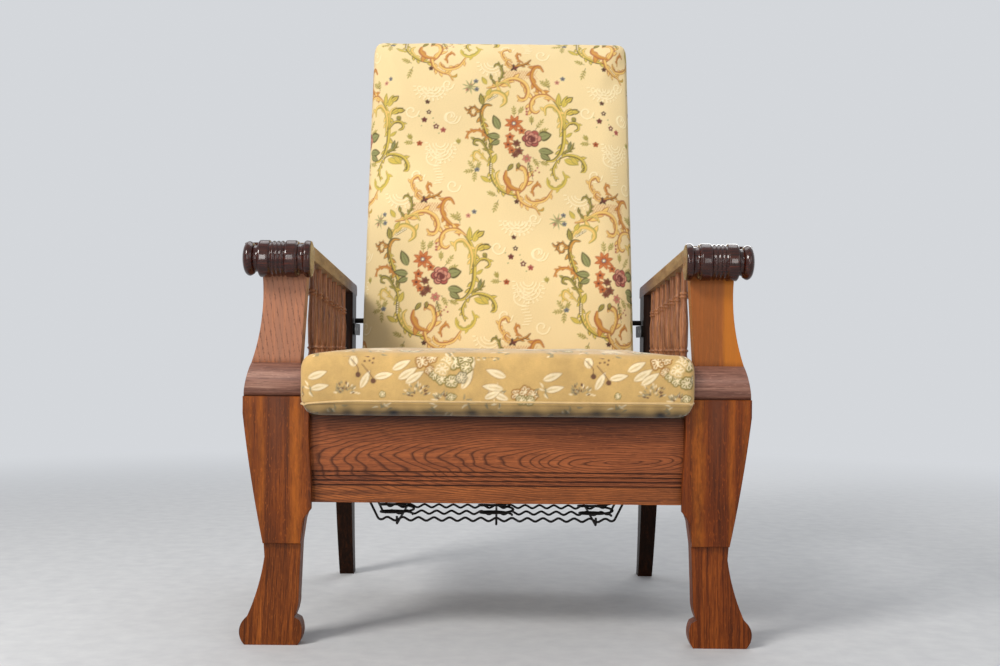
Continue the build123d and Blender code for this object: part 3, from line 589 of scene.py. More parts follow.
    def sampled(self, places):
        """Colour and rise at places, with the drawing repeated and blended between cells."""
        rows, columns = self.rise.shape
        spots = places / cell - 0.5
        first = np.floor(spots).astype(int)
        right, up = (spots - first)[:, :1], (spots - first)[:, 1:]
        left, low = first[:, 0] % columns, first[:, 1] % rows
        next_left, next_low = (left + 1) % columns, (low + 1) % rows
        made = []
        for layer in (self.paint, self.rise[..., None]):
            under = layer[low, left] * (1 - right) + layer[low, next_left] * right
            over = layer[next_low, left] * (1 - right) + layer[next_low, next_left] * right
            made.append(under * (1 - up) + over * up)
        return made


# Tapestry of the back. The places are pixels of an enlarged crop of the photograph.

gold, pale_gold = srgb(206, 148, 66), srgb(238, 198, 112)
olive, dark_olive = srgb(166, 150, 70), srgb(92, 84, 44)
rust, brown = srgb(170, 98, 56), srgb(88, 54, 38)
yellow, sage = srgb(216, 188, 84), srgb(146, 146, 92)
pink, rose_red, wine = srgb(206, 142, 116), srgb(172, 90, 76), srgb(112, 54, 46)
orange, bright_orange, bronze = srgb(168, 84, 42), srgb(204, 124, 66), srgb(150, 92, 62)
slate, cream, relief_highlight = srgb(118, 122, 122), srgb(252, 236, 190), srgb(252, 234, 190)
shell_shadow = srgb(226, 196, 138)
tapestry_ground = srgb(238, 212, 158)
tapestry_repeat, tapestry_start = (340, 564), (42, 516)
crop_centre = np.array([610, 760])
crop_scale = np.array([0.2467, -0.269])

# Width, light and dark colour, places, and the end that thins where only one does
medallion_scrolls = (
    (5.0, pale_gold, rust, ((548, 232), (490, 195), (452, 140), (460, 85), (498, 62), (518, 92)), "start"),
    (4.2, gold, brown, ((545, 236), (600, 222), (650, 205), (682, 178)), "end"),
    (3.2, gold, rust, ((618, 200), (580, 175), (568, 138), (592, 120), (604, 142))),
    (3.0, pale_gold, rust, ((545, 225), (510, 238), (482, 205), (505, 175), (532, 200))),
    (3.6, olive, dark_olive, ((420, 372), (455, 300), (446, 240), (408, 214), (386, 238))),
    (7.2, pale_gold, rust, ((335, 408), (420, 388), (490, 345), (560, 332), (632, 368), (660, 430),
     (640, 492), (598, 494), (578, 468))),
    (3.0, pale_gold, olive, ((400, 392), (450, 360), (500, 366), (520, 404))),
    (6.0, gold, rust, ((782, 275), (748, 232), (702, 256), (688, 330), (730, 402), (800, 455), (862, 500))),
    (6.4, yellow, dark_olive, ((850, 490), (912, 570), (938, 660), (945, 750), (938, 850), (912, 930),
     (862, 980), (806, 988))),
    (6.2, pale_gold, rust, ((880, 515), (806, 468), (730, 474), (688, 520), (688, 582), (722, 606),
     (752, 588))),
    (6.0, pale_gold, olive, ((798, 626), (798, 566), (850, 548), (902, 600), (924, 682), (912, 770))),
    (7.0, pale_gold, olive, ((440, 560), (482, 520), (470, 466), (402, 438), (342, 468), (300, 540))),
    (6.6, gold, dark_olive, ((372, 548), (322, 548), (292, 610), (306, 710), (350, 800), (380, 880))),
    (4.0, yellow, dark_olive, ((292, 620), (318, 720), (342, 780), (368, 850), (374, 930))),
    (5.4, yellow, dark_olive, ((334, 880), (372, 960), (372, 1070), (402, 1160), (470, 1222), (550, 1246),
     (600, 1232))),
    (7.6, pale_gold, rust, ((560, 1244), (622, 1200), (652, 1120), (632, 1050), (592, 1034), (574, 1062))),
    (8.4, gold, rust, ((492, 1064), (488, 1130), (532, 1192), (604, 1214))),
    (4.6, pale_gold, olive, ((440, 1062), (412, 1100), (436, 1170), (486, 1222))),
    (5.6, pale_gold, rust, ((578, 1226), (602, 1290), (660, 1330), (722, 1350), (752, 1398)), "end"),
    (2.8, gold, olive, ((740, 1366), (772, 1366), (782, 1346))),
    (5.4, pale_gold, rust, ((852, 1208), (794, 1286), (704, 1306), (652, 1282), (648, 1250))),
    (3.4, gold, rust, ((706, 1256), (698, 1200), (738, 1164), (762, 1190))),
    (5.0, yellow, olive, ((932, 1068), (954, 1128), (922, 1182), (860, 1198), (818, 1166), (812, 1118))),
    (4.0, yellow, dark_olive, ((884, 990), (858, 1060), (880, 1140))),
    (3.4, gold, brown, ((290, 600), (232, 566), (184, 590), (160, 566))),
    (3.0, gold, brown, ((216, 566), (198, 606), (232, 634), (248, 610))),
    (3.6, gold, rust, ((350, 812), (280, 752), (206, 760), (170, 812))),
    (4.6, olive, dark_olive, ((360, 940), (302, 842), (252, 820), (236, 852), (268, 868))),
    (4.0, pale_gold, olive, ((350, 1000), (262, 916), (236, 958), (276, 992))),
    (5.6, yellow, dark_olive, ((900, 970), (970, 940), (1060, 962), (1104, 1020), (1100, 1064),
     (1074, 1072))),
    (4.2, yellow, dark_olive, ((944, 742), (990, 690), (1040, 690), (1058, 730), (1024, 752))),
    (3.6, pale_gold, olive, ((950, 680), (960, 600), (1000, 570))),
    (3.4, olive, dark_olive, ((930, 930), (990, 900), (1020, 846))),
)
# Place, angle, length, width, dark and light colour
medallion_leaves = (
    (900, 545, 88, 26, 9, olive, yellow), (935, 560, 70, 26, 12, olive, yellow),
    (960, 520, 40, 17, 11, dark_olive, yellow), (965, 620, 30, 24, 12, dark_olive, yellow),
    (1005, 600, 5, 15, 10, dark_olive, yellow), (1010, 640, -60, 11, 8, dark_olive, olive),
    (960, 800, 40, 15, 6, olive, yellow), (975, 905, 75, 20, 6, dark_olive, sage),
    (945, 975, -25, 26, 12, olive, yellow), (1000, 960, -50, 20, 9, olive, yellow),
    (300, 545, 100, 25, 10, dark_olive, olive), (330, 470, 60, 18, 8, olive, yellow),
    (435, 740, 112, 32, 15, dark_olive, sage), (440, 800, 172, 26, 14, dark_olive, sage),
    (440, 830, 205, 20, 11, dark_olive, sage), (740, 800, 12, 26, 20, dark_olive, sage),
    (745, 905, -8, 28, 15, dark_olive, sage), (760, 935, -32, 22, 12, dark_olive, sage),
    (545, 1010, 235, 18, 8, dark_olive, olive), (590, 1000, 262, 14, 7, brown, olive),
    (380, 1010, 70, 22, 10, olive, yellow), (360, 1150, 145, 20, 9, olive, yellow),
    (400, 380, 120, 14, 5, dark_olive, olive), (370, 345, 100, 14, 5, dark_olive, olive),
    (330, 380, 120, 18, 8, olive, yellow), (370, 900, 105, 14, 5, dark_olive, olive),
)
# Place, angle and length
medallion_twigs = (
    (555, 640, 95, 26), (585, 620, 62, 20), (720, 740, 55, 30), (735, 770, 25, 24), (690, 700, 92, 18),
    (700, 960, -60, 22), (670, 1000, -75, 30), (750, 990, -20, 20), (250, 1060, 125, 26),
    (250, 1060, 190, 24), (250, 1060, 265, 26), (250, 1060, 60, 20), (420, 1260, 155, 22),
    (430, 1290, 250, 30), (830, 420, 105, 26), (820, 400, 140, 22), (1150, 850, 180, 20),
    (1130, 830, 120, 14), (120, 860, 100, 10),
)
# Place and radius
orange_blooms = ((520, 800, 9), (506, 860, 9), (536, 905, 8), (612, 750, 8))
bronze_blooms = ((572, 850, 8), (590, 912, 9), (560, 940, 7))
berries = ((650, 574, 2.3), (650, 598, 2.3), (650, 620, 2.3), (735, 1040, 1.8), (720, 1062, 1.8),
           (748, 1075, 1.8), (700, 1100, 1.8))
main_bloom, rose_bloom, low_bloom = (550, 692), (690, 812), (652, 968)
stalk_foot, stalk_tips = (662, 1000), ((700, 1130), (690, 1090), (655, 1100))
lattice_place, lattice_step, lattice_count = (452, 300), 20, 14
crown_foot = (548, 244)
crown_tips = ((548, 238, brown), (530, 262, brown), (566, 262, brown), (578, 240, wine))
sprig_stars = (
    (205, 385, pink), (180, 420, pink), (245, 355, slate), (252, 420, slate), (890, 362, pink),
    (935, 332, slate), (265, 1056, slate), (575, 1300, brown),
)
spray_place = (200, 400)
# Place, radius, colour and heart
scattered_stars = (
    (1222, 668, 6.5, wine, brown), (1256, 606, 5.5, brown, cream), (1316, 720, 6.5, wine, cream),
    (1372, 748, 6.5, rose_red, wine), (1190, 854, 6.5, orange, brown), (1244, 522, 5.5, brown, brown),
)
specks = ((1290, 655), (1180, 640), (1300, 690), (1200, 715), (1340, 775))
shells = ((1250, 400), (1355, 850), (600, 1450), (-20, 900), (1060, 1250))
# Place and size
curls = ((1120, 600, 60), (1420, 640, 60), (1300, 960, 80), (1180, 1100, 60), (60, 640, 70),
         (1400, 380, 50), (80, 1180, 60))
comb_place, comb_step, comb_count = (1370, 940), 22, 11
pearl_runs = (((345, 510), (410, 470)), ((372, 1010), (370, 1085)), ((890, 975), (918, 948)))


def crop_place(x, y, centre):
    return np.array(centre) + (np.array([x, y]) - crop_centre) * crop_scale


def draw_lattice(cloth, centre):
    """Fine crossing threads between the crown and the gold scrolls."""
    for number in range(lattice_count):
        for lean in (-1, 1):
            middle = crop_place(lattice_place[0] + number * lattice_step, lattice_place[1], centre)
            run = np.array([lean * 5.5, 9.0])
            cloth.stroke([middle - run, middle + run], 0.8, srgb(206, 146, 96), 0.3)


def draw_bouquet(cloth, centre):
    for x, y, radius in orange_blooms:
        cloth.flower(crop_place(x, y, centre), radius, 5, bright_orange, orange, brown)
    for x, y, radius in bronze_blooms:
        cloth.flower(crop_place(x, y, centre), radius, 6, bronze, brown, wine)
    cloth.flower(crop_place(*main_bloom, centre), 17, 8, bright_orange, orange, slate)
    cloth.dot(crop_place(*main_bloom, centre), 2.2, cream)
    cloth.rose(crop_place(*rose_bloom, centre), 17, pink, rose_red, wine)
    cloth.flower(crop_place(*low_bloom, centre), 9, 6, pink, rose_red, sage)
    for x, y, radius in berries:
        cloth.dot(crop_place(x, y, centre), radius, rose_red)
    for tip in stalk_tips:
        cloth.stroke([crop_place(*stalk_foot, centre), crop_place(*tip, centre)], [1.2, 1.0], dark_olive)


def draw_sprigs(cloth, centre):
    """Small flowers between the medallions."""
    for x, y, tone in sprig_stars:
        cloth.star(crop_place(x, y, centre), 5.5, tone, brown)
    for angle in range(0, 360, 40):
        cloth.leaf(crop_place(*spray_place, centre), math.radians(angle), 17, 2.4, sage)
    for x, y, radius, tone, heart in scattered_stars:
        cloth.star(crop_place(x, y, centre), radius, tone, heart)
    for x, y in specks:
        cloth.dot(crop_place(x, y, centre), 1.3, sage)


def relief(cloth, points, width):
    """A raised thread, a little paler than the ground, partly a paler yarn and partly a painted highlight,
    with a painted shadow beside it.
    """
    line = smooth(points)
    # Painted shadow beside the thread, then the thread with its painted highlight.
    cloth.stroke(line + np.array([0.7, -0.8]), width + 0.8, shell_shadow, 0.4)
    cloth.stroke(line, width, relief_highlight, 0.95)


def draw_shells(cloth, centre):
    """Raised cream shells, curls, combs and beads."""
    for x, y in shells:
        middle = crop_place(x, y, centre)
        for ring in (9, 15, 22):
            turns = np.linspace(0.1, math.pi - 0.1, 9)
            relief(cloth, [middle + ring * heading(-turn) for turn in turns], 1.7)
        for turn in np.linspace(0, math.pi, 11):
            relief(cloth, [middle + 25 * heading(-turn), middle + 30 * heading(-turn)], 1.9)
    for x, y, size in curls:
        curl = [np.array([x, y]) + size * share * heading(turn)
                for share, turn in zip(np.linspace(1, 0.2, 10), np.linspace(0, 7, 10))]
        relief(cloth, [crop_place(*place, centre) for place in curl], 2.0)
    for number in range(comb_count):
        sway = 14 * math.sin(number)
        place = crop_place(comb_place[0] + sway, comb_place[1] + number * comb_step, centre)
        relief(cloth, [place, place + np.array([-13.0, -1.5])], 1.6)


def draw_pearls(cloth, centre):
    for start, end in pearl_runs:
        for share in np.linspace(0, 1, 6):
            place = crop_place(*(np.array(start) * (1 - share) + np.array(end) * share), centre)
            cloth.dot(place, 2.3, brown, 0.5)
            cloth.dot(place, 1.5, cream, 0.9)


def draw_medallion(cloth, centre):
    draw_shells(cloth, centre)
    draw_lattice(cloth, centre)
    for x, y, angle, length in medallion_twigs:
        cloth.twig(crop_place(x, y, centre), math.radians(angle), length * 0.7, dark_olive, olive)
    for width, light, dark, places, *thins in medallion_scrolls:
        cloth.scroll([crop_place(x, y, centre) for x, y in places], width, light, dark, *thins)
    for x, y, angle, length, width, dark, light in medallion_leaves:
        cloth.veined_leaf(crop_place(x, y, centre), math.radians(angle), length, width, dark, light)
    for x, y, tone in crown_tips:
        turn = math.atan2(crown_foot[1] - y, x - crown_foot[0] - 0.5)
        cloth.leaf(crop_place(*crown_foot, centre), turn, 9, 5, tone)
    draw_bouquet(cloth, centre)
    draw_sprigs(cloth, centre)
    draw_pearls(cloth, centre)


def tapestry():
    """One repeat of the tapestry, two medallions set half a drop apart."""
    cloth = Cloth(tapestry_repeat, tapestry_ground)
    wide, high = tapestry_repeat
    for column in range(-1, 4):
        for row in range(-1, 3):
            drop = high / 2 if column % 2 else 0
            place = (tapestry_start[0] + wide / 2 * column, tapestry_start[1] + high * row - drop)
            draw_medallion(cloth, place)
    return cloth


# Velvet of the seat cushion. The places are pixels of an enlarged crop of its front.

velvet_ground, velvet_pale = srgb(206, 167, 100), srgb(244, 222, 178)
velvet_brown, velvet_sage = srgb(104, 66, 40), srgb(150, 136, 98)
petal_shadow, petal_vein = srgb(176, 138, 84), srgb(222, 194, 144)
lobe_rims = {"gold": srgb(178, 122, 40), "olive": srgb(146, 128, 52), "pale": srgb(222, 186, 120),
             "sage": velvet_sage}
velvet_repeat = (339, 200)
velvet_start, velvet_scale = (-295.8, 7.2), 0.19228
# Place, angle, length and width
pale_petals = (
    (615, 250, 12, 130, 46), (750, 190, 28, 140, 50), (795, 260, 32, 150, 52), (850, 290, 34, 150, 50),
    (510, 330, 62, 140, 46), (1270, 330, 60, 150, 50), (1330, 200, 80, 120, 44), (1600, 240, 160, 150, 52),
    (1580, 330, 172, 150, 50), (1620, 410, 158, 150, 46), (1440, 400, 24, 120, 44), (350, 60, -10, 110, 40),
    (1880, 260, 20, 140, 50), (1900, 340, 12, 130, 44), (460, 170, 96, 90, 60),
)
# Place, radius and rim
lobes = (
    (970, 122, 54, "gold"), (1045, 96, 46, "gold"), (1030, 190, 40, "gold"), (1068, 226, 40, "olive"),
    (1120, 256, 44, "olive"), (1190, 276, 50, "olive"), (1215, 130, 62, "olive"), (1290, 110, 60, "olive"),
    (1300, 170, 50, "olive"), (1150, 130, 50, "pale"), (1120, 180, 60, "pale"), (1265, 245, 42, "sage"),
    (1690, 372, 46, "gold"), (1745, 352, 48, "gold"), (1800, 372, 46, "gold"), (1780, 412, 40, "olive"),
    (1715, 412, 40, "olive"), (1195, 392, 34, "olive"), (676, 376, 26, "olive"),
)
seed_stalks = (((436, 112), (488, 172), (492, 214)), ((520, 150), (570, 210), (606, 258)),
               ((380, 90), (470, 60), (560, 96)))
seed_heads = ((492, 230), (606, 276))
seed_dots = ((540, 128), (566, 92), (606, 108), (640, 86), (600, 140), (536, 70), (660, 66), (576, 124))
faded_tufts = ((120, 330), (700, 470), (1060, 480), (1500, 470), (1560, 330), (320, 480), (1320, 420))
# Place, radius and seed
mottled_fans = ((400, 380, 17, 3), (940, 392, 19, 4), (1460, 120, 14, 5), (1120, 420, 12, 6))


def velvet_place(x, y, shift):
    return np.array([velvet_start[0] + velvet_scale * x + shift[0],
                     velvet_start[1] - velvet_scale * y + shift[1]])


def ruffled_lobe(cloth, centre, radius, kind):
    """One petal of the large flower: an uneven scalloped rim, a pale middle and short dark folds."""
    rim = lobe_rims[kind]
    edge = tuple(np.array(rim) * (0.7 if kind == "pale" else 0.5))
    spread = np.random.default_rng(int(abs(centre[0] * 7 + centre[1] * 3)))
    turns = np.linspace(0, 2 * math.pi, 7, endpoint=False) + spread.uniform(-0.25, 0.25, 7)
    ways = np.stack([np.cos(turns), np.sin(turns)], 1) * spread.uniform(0.42, 0.66, 7)[:, None]
    for grow, tone, rise in ((0.44, edge, 0.5), (0.37, rim, 0.7), (0.24, velvet_pale, 0.95)):
        for way in ways:
            cloth.dot(centre + way * radius, radius * grow, tone, rise)
    cloth.dot(centre, radius * 0.5, velvet_pale, 0.95)
    for way in ways:
        turn = math.atan2(way[1], way[0])
        cloth.leaf(centre + way * radius * 0.4, turn, radius * 0.5, radius * 0.2, rim, 0.6)
        cloth.leaf(centre + way * radius * 0.9, turn + 0.4, radius * 0.26, radius * 0.12, edge, 0.5)


def mottled_fan(cloth, centre, radius, seed):
    """A faded sage flower made of small flecks."""
    spread = np.random.default_rng(seed)
    for number in range(46):
        turn = spread.uniform(0.1, math.pi - 0.1)
        place = centre + radius * spread.uniform(0.25, 1.0) * heading(turn)
        tone = (velvet_sage, velvet_brown, velvet_pale, velvet_sage)[number % 4]
        cloth.leaf(place, turn, 5.0, 2.0, tone, 0.5)


def draw_seeds(cloth, shift):
    for places in seed_stalks:
        cloth.stroke(smooth([velvet_place(x, y, shift) for x, y in places]), 1.1, velvet_brown, 0.4)
    for spots, radius, rise in ((seed_heads, 3.9, 0.7), (seed_dots, 1.5, 0.5)):
        for x, y in spots:
            cloth.dot(velvet_place(x, y, shift), radius, velvet_brown, rise)


def draw_velvet_repeat(cloth, shift):
    """Faded scrolls, pale petals, mottled fans, ruffled flowers and seed heads."""
    spread = np.random.default_rng(7)
    for x, y in faded_tufts:
        for number in range(7):
            base = velvet_place(x + spread.uniform(-60, 60), y + spread.uniform(-30, 30), shift)
            tone = (velvet_sage, velvet_pale)[number % 2]
            cloth.leaf(base, spread.uniform(0, 6.28), 9.0, 2.6, tone, 0.5, 0.4)
    for x, y, angle, length, width in pale_petals:
        base, lean = velvet_place(x, y, shift), math.radians(angle)
        cloth.leaf(base, lean, length * 0.215, width * 0.25, petal_shadow, 0.4)
        cloth.leaf(base, lean, length * 0.205, width * 0.21, velvet_pale, 1.0)
        cloth.leaf(base, lean, length * 0.15, width * 0.06, petal_vein, 0.8)
    for x, y, radius, seed in mottled_fans:
        mottled_fan(cloth, velvet_place(x, y, shift), radius, seed)
    for x, y, radius, kind in lobes:
        ruffled_lobe(cloth, velvet_place(x, y, shift), radius * 0.21, kind)
    draw_seeds(cloth, shift)


def velvet():
    """One repeat of the velvet, with a second row of the flowers half a repeat along."""
    cloth = Cloth(velvet_repeat, velvet_ground)
    wide, high = velvet_repeat
    for column in range(-1, 4):
        for row in range(0, 3):
            draw_velvet_repeat(cloth, (wide * column, high * row))
            draw_velvet_repeat(cloth, (wide * (column - 0.5), high * (row + 0.5)))
    return cloth


# Meshes

def mesh_object(name, corners, faces):
    mesh = bpy.data.meshes.new(name)
    mesh.from_pydata([tuple(corner) for corner in corners], [], faces)
    mesh.update()
    return link_object(name, mesh)


def edit_mesh(piece, change):
    mesh = bmesh.new()
    mesh.from_mesh(piece.data)
    change(mesh)
    mesh.to_mesh(piece.data)
    mesh.free()


def turn_outward(mesh):
    bmesh.ops.recalc_face_normals(mesh, faces=mesh.faces)


def shade_smooth(mesh):
    mesh.polygons.foreach_set("use_smooth", [True] * len(mesh.polygons))


def vectors(mesh, kind="co"):
    """Places or normals of a mesh's points."""
    flat = np.empty(len(mesh.vertices) * 3)
    mesh.vertices.foreach_get(kind, flat)
    return flat.reshape(-1, 3)


def move_points(mesh, places):
    mesh.vertices.foreach_set("co", places.ravel())
    mesh.update()


def ring_faces(rings, sides, first=0, closed=False):
    """Faces between rings of points, with the last ring joined to the first where closed."""
    faces = []
    for ring in range(rings if closed else rings - 1):
        here, after = first + ring * sides, first + (ring + 1) % rings * sides
        for step in range(sides):
            beside = (step + 1) % sides
            faces.append((here + step, after + step, after + beside, here + beside))
    return faces


# Padded pieces: a grid shell, a short cloth simulation, then fine faces that carry the pattern

fine_levels = 3


def spaced(half, step, ends=()):
    """Places from -half to half about one step apart, with extra lines this far inside each end."""
    places = list(np.linspace(-half, half, max(2, round(2 * half / step)) + 1))
    for inside in ends:
        places += [half - inside, inside - half]
    return np.array(sorted(places))


def box_shell(*lines):
    """Corners and faces of a closed box made of grid lines, with one index for each shared point."""
    index, corners, faces = {}, [], []

    def corner(place):
        if place not in index:
            index[place] = len(corners)
            corners.append([lines[axis][place[axis]] for axis in range(3)])
        return index[place]

    for axis in range(3):
        first, second = [other for other in range(3) if other != axis]
        for end in (0, len(lines[axis]) - 1):
            for a in range(len(lines[first]) - 1):
                for b in range(len(lines[second]) - 1):
                    ring = []
                    for step_a, step_b in ((0, 0), (1, 0), (1, 1), (0, 1)):
                        place = [0, 0, 0]
                        place[axis], place[first], place[second] = end, a + step_a, b + step_b
                        ring.append(corner(tuple(place)))
                    outward = (end > 0) != (axis == 1)
                    faces.append(ring if outward else ring[::-1])
    return np.array(corners), faces


def rounded(corners, halves, radii):
    """The box's corners moved onto a rounded box. Radii are for the three axes."""
    halves, radii = np.array(halves), np.array(radii)
    inner = np.clip(corners, radii - halves, halves - radii)
    off = (corners - inner) / radii
    length = np.linalg.norm(off, axis=1)[:, None]
    # A flat face keeps its full reach, and an edge turns on the radii.
    reach = np.max(np.abs(off), axis=1)[:, None]
    return inner + radii * off * np.where(length > 1e-9, reach / np.maximum(length, 1e-9), 0)


def inflate(piece, held, cap, sides, pressure=4.0, stiffness=12.0, frames=20):
    """Cloth with pressure inside, its held points fixed, no point moved past cap.

    Along the axes named in sides, no point draws in by more than a millimetre.
    """
    start = vectors(piece.data)
    group = piece.vertex_groups.new(name="held")
    group.add([int(number) for number in np.flatnonzero(held)], 1.0, "REPLACE")
    cloth = piece.modifiers.new("cloth", "CLOTH")
    values = {"quality": 6, "mass": 0.35, "tension_stiffness": stiffness, "compression_stiffness": stiffness,
              "shear_stiffness": stiffness * 0.5, "bending_stiffness": 1.2, "use_pressure": True,
              "uniform_pressure_force": pressure, "vertex_group_mass": "held"}
    for key, value in values.items():
        setattr(cloth.settings, key, value)
    cloth.settings.effector_weights.gravity = 0.0
    cloth.point_cache.frame_start, cloth.point_cache.frame_end = 1, frames
    for number in range(1, frames + 1):
        bpy.context.scene.frame_set(number)
    made = piece.evaluated_get(bpy.context.evaluated_depsgraph_get())
    moved = vectors(made.to_mesh()).copy()
    made.to_mesh_clear()
    piece.modifiers.remove(cloth)
    bpy.context.scene.frame_set(1)
    step = moved - start
    length = np.linalg.norm(step, axis=1)[:, None]
    step *= np.minimum(1, cap / np.maximum(length, 1e-9))
    outward = np.sign(start - (start.max(axis=0) + start.min(axis=0)) / 2)
    for axis in sides:
        step[:, axis] = np.maximum(step[:, axis] * outward[:, axis], -1 * mm) * outward[:, axis]
    move_points(piece.data, start + step)


def subdivide(piece):
    """Finer, rounder faces, made real."""
    modifier = piece.modifiers.new("fine", "SUBSURF")
    modifier.levels = fine_levels
    made = piece.evaluated_get(bpy.context.evaluated_depsgraph_get())
    mesh = bpy.data.meshes.new_from_object(made)
    piece.modifiers.remove(modifier)
    old = piece.data
    piece.data = mesh
    bpy.data.meshes.remove(old)
    shade_smooth(mesh)


def dress_cloth(piece, cloth, places, shade, material):
    """Colours each point from the drawing times its shade, which holds painted shade, and keeps its place on
    the cloth for the weave.
    """
    mesh = piece.data
    paint, rise = cloth.sampled(places)
    # The shade darkens the pattern as painted shade.
    paint = np.hstack([paint * shade[:, None], np.ones((len(places), 1))])
    spots = np.hstack([places * mm, np.zeros((len(places), 1))])
    for layers, name, kind, key, values in (
            (mesh.color_attributes, "pattern", "FLOAT_COLOR", "color", paint),
            (mesh.attributes, "rise", "FLOAT", "value", rise),
            (mesh.attributes, "cloth", "FLOAT_VECTOR", "vector", spots)):
        layer = layers.new(name, kind, "POINT")
        layer.data.foreach_set(key, values.astype(np.float32).ravel())
    mesh.materials.append(material)


def soft_noise(places, size, seed, strength):
    """Slow uneven values in three dimensions, from a few waves."""
    spread = np.random.default_rng(seed)
    waves = 14
    total = np.zeros(len(places))
    for number in range(waves):
        way = spread.normal(size=3)
        way *= 2 * math.pi / (size * spread.uniform(0.7, 1.8)) / np.linalg.norm(way)
        total += np.sin(places @ way + spread.uniform(0, 2 * math.pi))
    return total * strength / waves ** 0.5


def woven(name, thread, bump, sheen, rough, nap=0.0):
    """Cloth shown by its own pattern colours, with its yarns as fine bumps and uneven tone."""
    nodes = Finish(name)
    pattern = nodes.add("Attribute", attribute_name="pattern").outputs["Color"]
    rise = nodes.add("Attribute", attribute_name="rise").outputs["Fac"]
    spot = nodes.add("Attribute", attribute_name="cloth").outputs["Vector"]
    uneven = {"Distortion": 1.2, "Detail": 1.0, "Detail Scale": 2.0}
    weave = nodes.math("MAXIMUM", *(nodes.wave(spot, thread, uneven, bands_direction=way) for way in "XY"))
    yarn = nodes.noise((420, 900, 1), rough=0.6, source=spot)
    pile = nodes.off(nodes.noise(48, 5.0, 0.65), nap)
    tone = nodes.plus(nodes.times(yarn, 0.30), nodes.times(nodes.noise(7), 0.14), pile, 0.78)
    shade = nodes.mix(1.0, pattern, nodes.ramp(weave, (0.1, 0.88), (0.8, 1.0)), "MULTIPLY")
    grey = nodes.add("CombineColor", {"Red": tone, "Green": tone, "Blue": tone}).outputs[0]
    height = nodes.plus(nodes.times(weave, 0.6), yarn)
    normal = nodes.bump(height, 0.4, 0.25 * mm, nodes.bump(rise, 0.6, bump))
    return nodes.set(base_color=nodes.mix(1.0, shade, grey, "MULTIPLY"), normal=normal, roughness=rough,
                     sheen_weight=sheen, sheen_roughness=0.45)


# Back pad, in millimetres of the back's own frame

pad_half, pad_low, pad_high = 252.8, 8.0, 722.0
pad_front, pad_rear, pad_limit = -66.0, -3.2, -74.6
pad_face, pad_middle = -72, 360
pad_cell, pad_front_radii, pad_rear_radii = 12.4, (22.0, 16.0, 22.0), (22.0, 1.0, 22.0)
pad_held, pad_swell, pad_pressure = 6, 9.5 * mm, 5.0
shadow_and_soil_middle, shadow_and_soil_reach = (-250, 120), (200, 260)


def close_rear(mesh):
    """The rear grid faces become one flat face, which carries no pattern."""
    limit = (pad_rear - 0.05) * mm
    rear = [face for face in mesh.faces if all(corner.co.y > limit for corner in face.verts)]
    bmesh.ops.dissolve_faces(mesh, faces=rear)


def pad_places(local, away):
    """Where each point lies on the cloth, which turns round the sides from the front."""
    behind = np.maximum(local[:, 1] - pad_face, 0)
    sideways = np.abs(away[:, 0]) > np.abs(away[:, 2])
    across = local[:, 0] + np.sign(local[:, 0]) * np.where(sideways, behind, 0)
    up = local[:, 2] + np.sign(local[:, 2] - pad_middle) * np.where(sideways, 0, behind)
    return np.stack([across, up], 1)


def pad_shade(local):
    """Darker towards the lower left corner: painted shadow of the arm and the cushion, with some soiling."""
    # Painted shadow, with some soiling, darkens the lower left corner.
    corner = np.hypot(*((local[:, (0, 2)] - shadow_and_soil_middle) / shadow_and_soil_reach).T)
    shadow_and_soil = np.clip(1 - corner, 0, 1) ** 1.3
    return 1.03 - 0.34 * shadow_and_soil + soft_noise(local, 210, 21, 0.035)


def make_back_pad():
    halves = (pad_half, (pad_rear - pad_front) / 2, (pad_high - pad_low) / 2)
    corners, faces = box_shell(spaced(halves[0], pad_cell), spaced(halves[1], pad_cell, (2.5,)),
                               spaced(halves[2], pad_cell))
    share = np.clip((halves[1] - corners[:, 1]) / (2 * halves[1]), 0, 1)[:, None]
    rear = rounded(corners, halves, pad_rear_radii)
    local = rear * (1 - share) + rounded(corners, halves, pad_front_radii) * share
    local += np.array([0, (pad_rear + pad_front) / 2, (pad_low + pad_high) / 2])
    piece = mesh_object("back_cushion", local * mm, faces)
    inflate(piece, corners[:, 1] > halves[1] - pad_held, pad_swell, (0, 2), pad_pressure)
    local = vectors(piece.data) / mm
    local[:, 1] = np.maximum(local[:, 1], pad_limit)
    move_points(piece.data, local * mm)
    edit_mesh(piece, close_rear)
    subdivide(piece)
    local, away = vectors(piece.data) / mm, vectors(piece.data, "normal")
    local += away * soft_noise(local, 150, 11, 0.5)[:, None] * (away[:, 1] < -0.2)[:, None]
    local += away * soft_noise(local, 42, 12, 0.14)[:, None] * (away[:, 1] < 0.5)[:, None]
    move_points(piece.data, local * mm)
    material = woven("tapestry", 1.25 * mm, 0.5 * mm, 0.12, 0.86)
    dress_cloth(piece, tapestry(), pad_places(local, away), pad_shade(local), material)
    piece.data.transform(back_place)
    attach(piece, "backrest")
    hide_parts("back_pad")


# Seat cushion, in millimetres from the front of the leg blocks

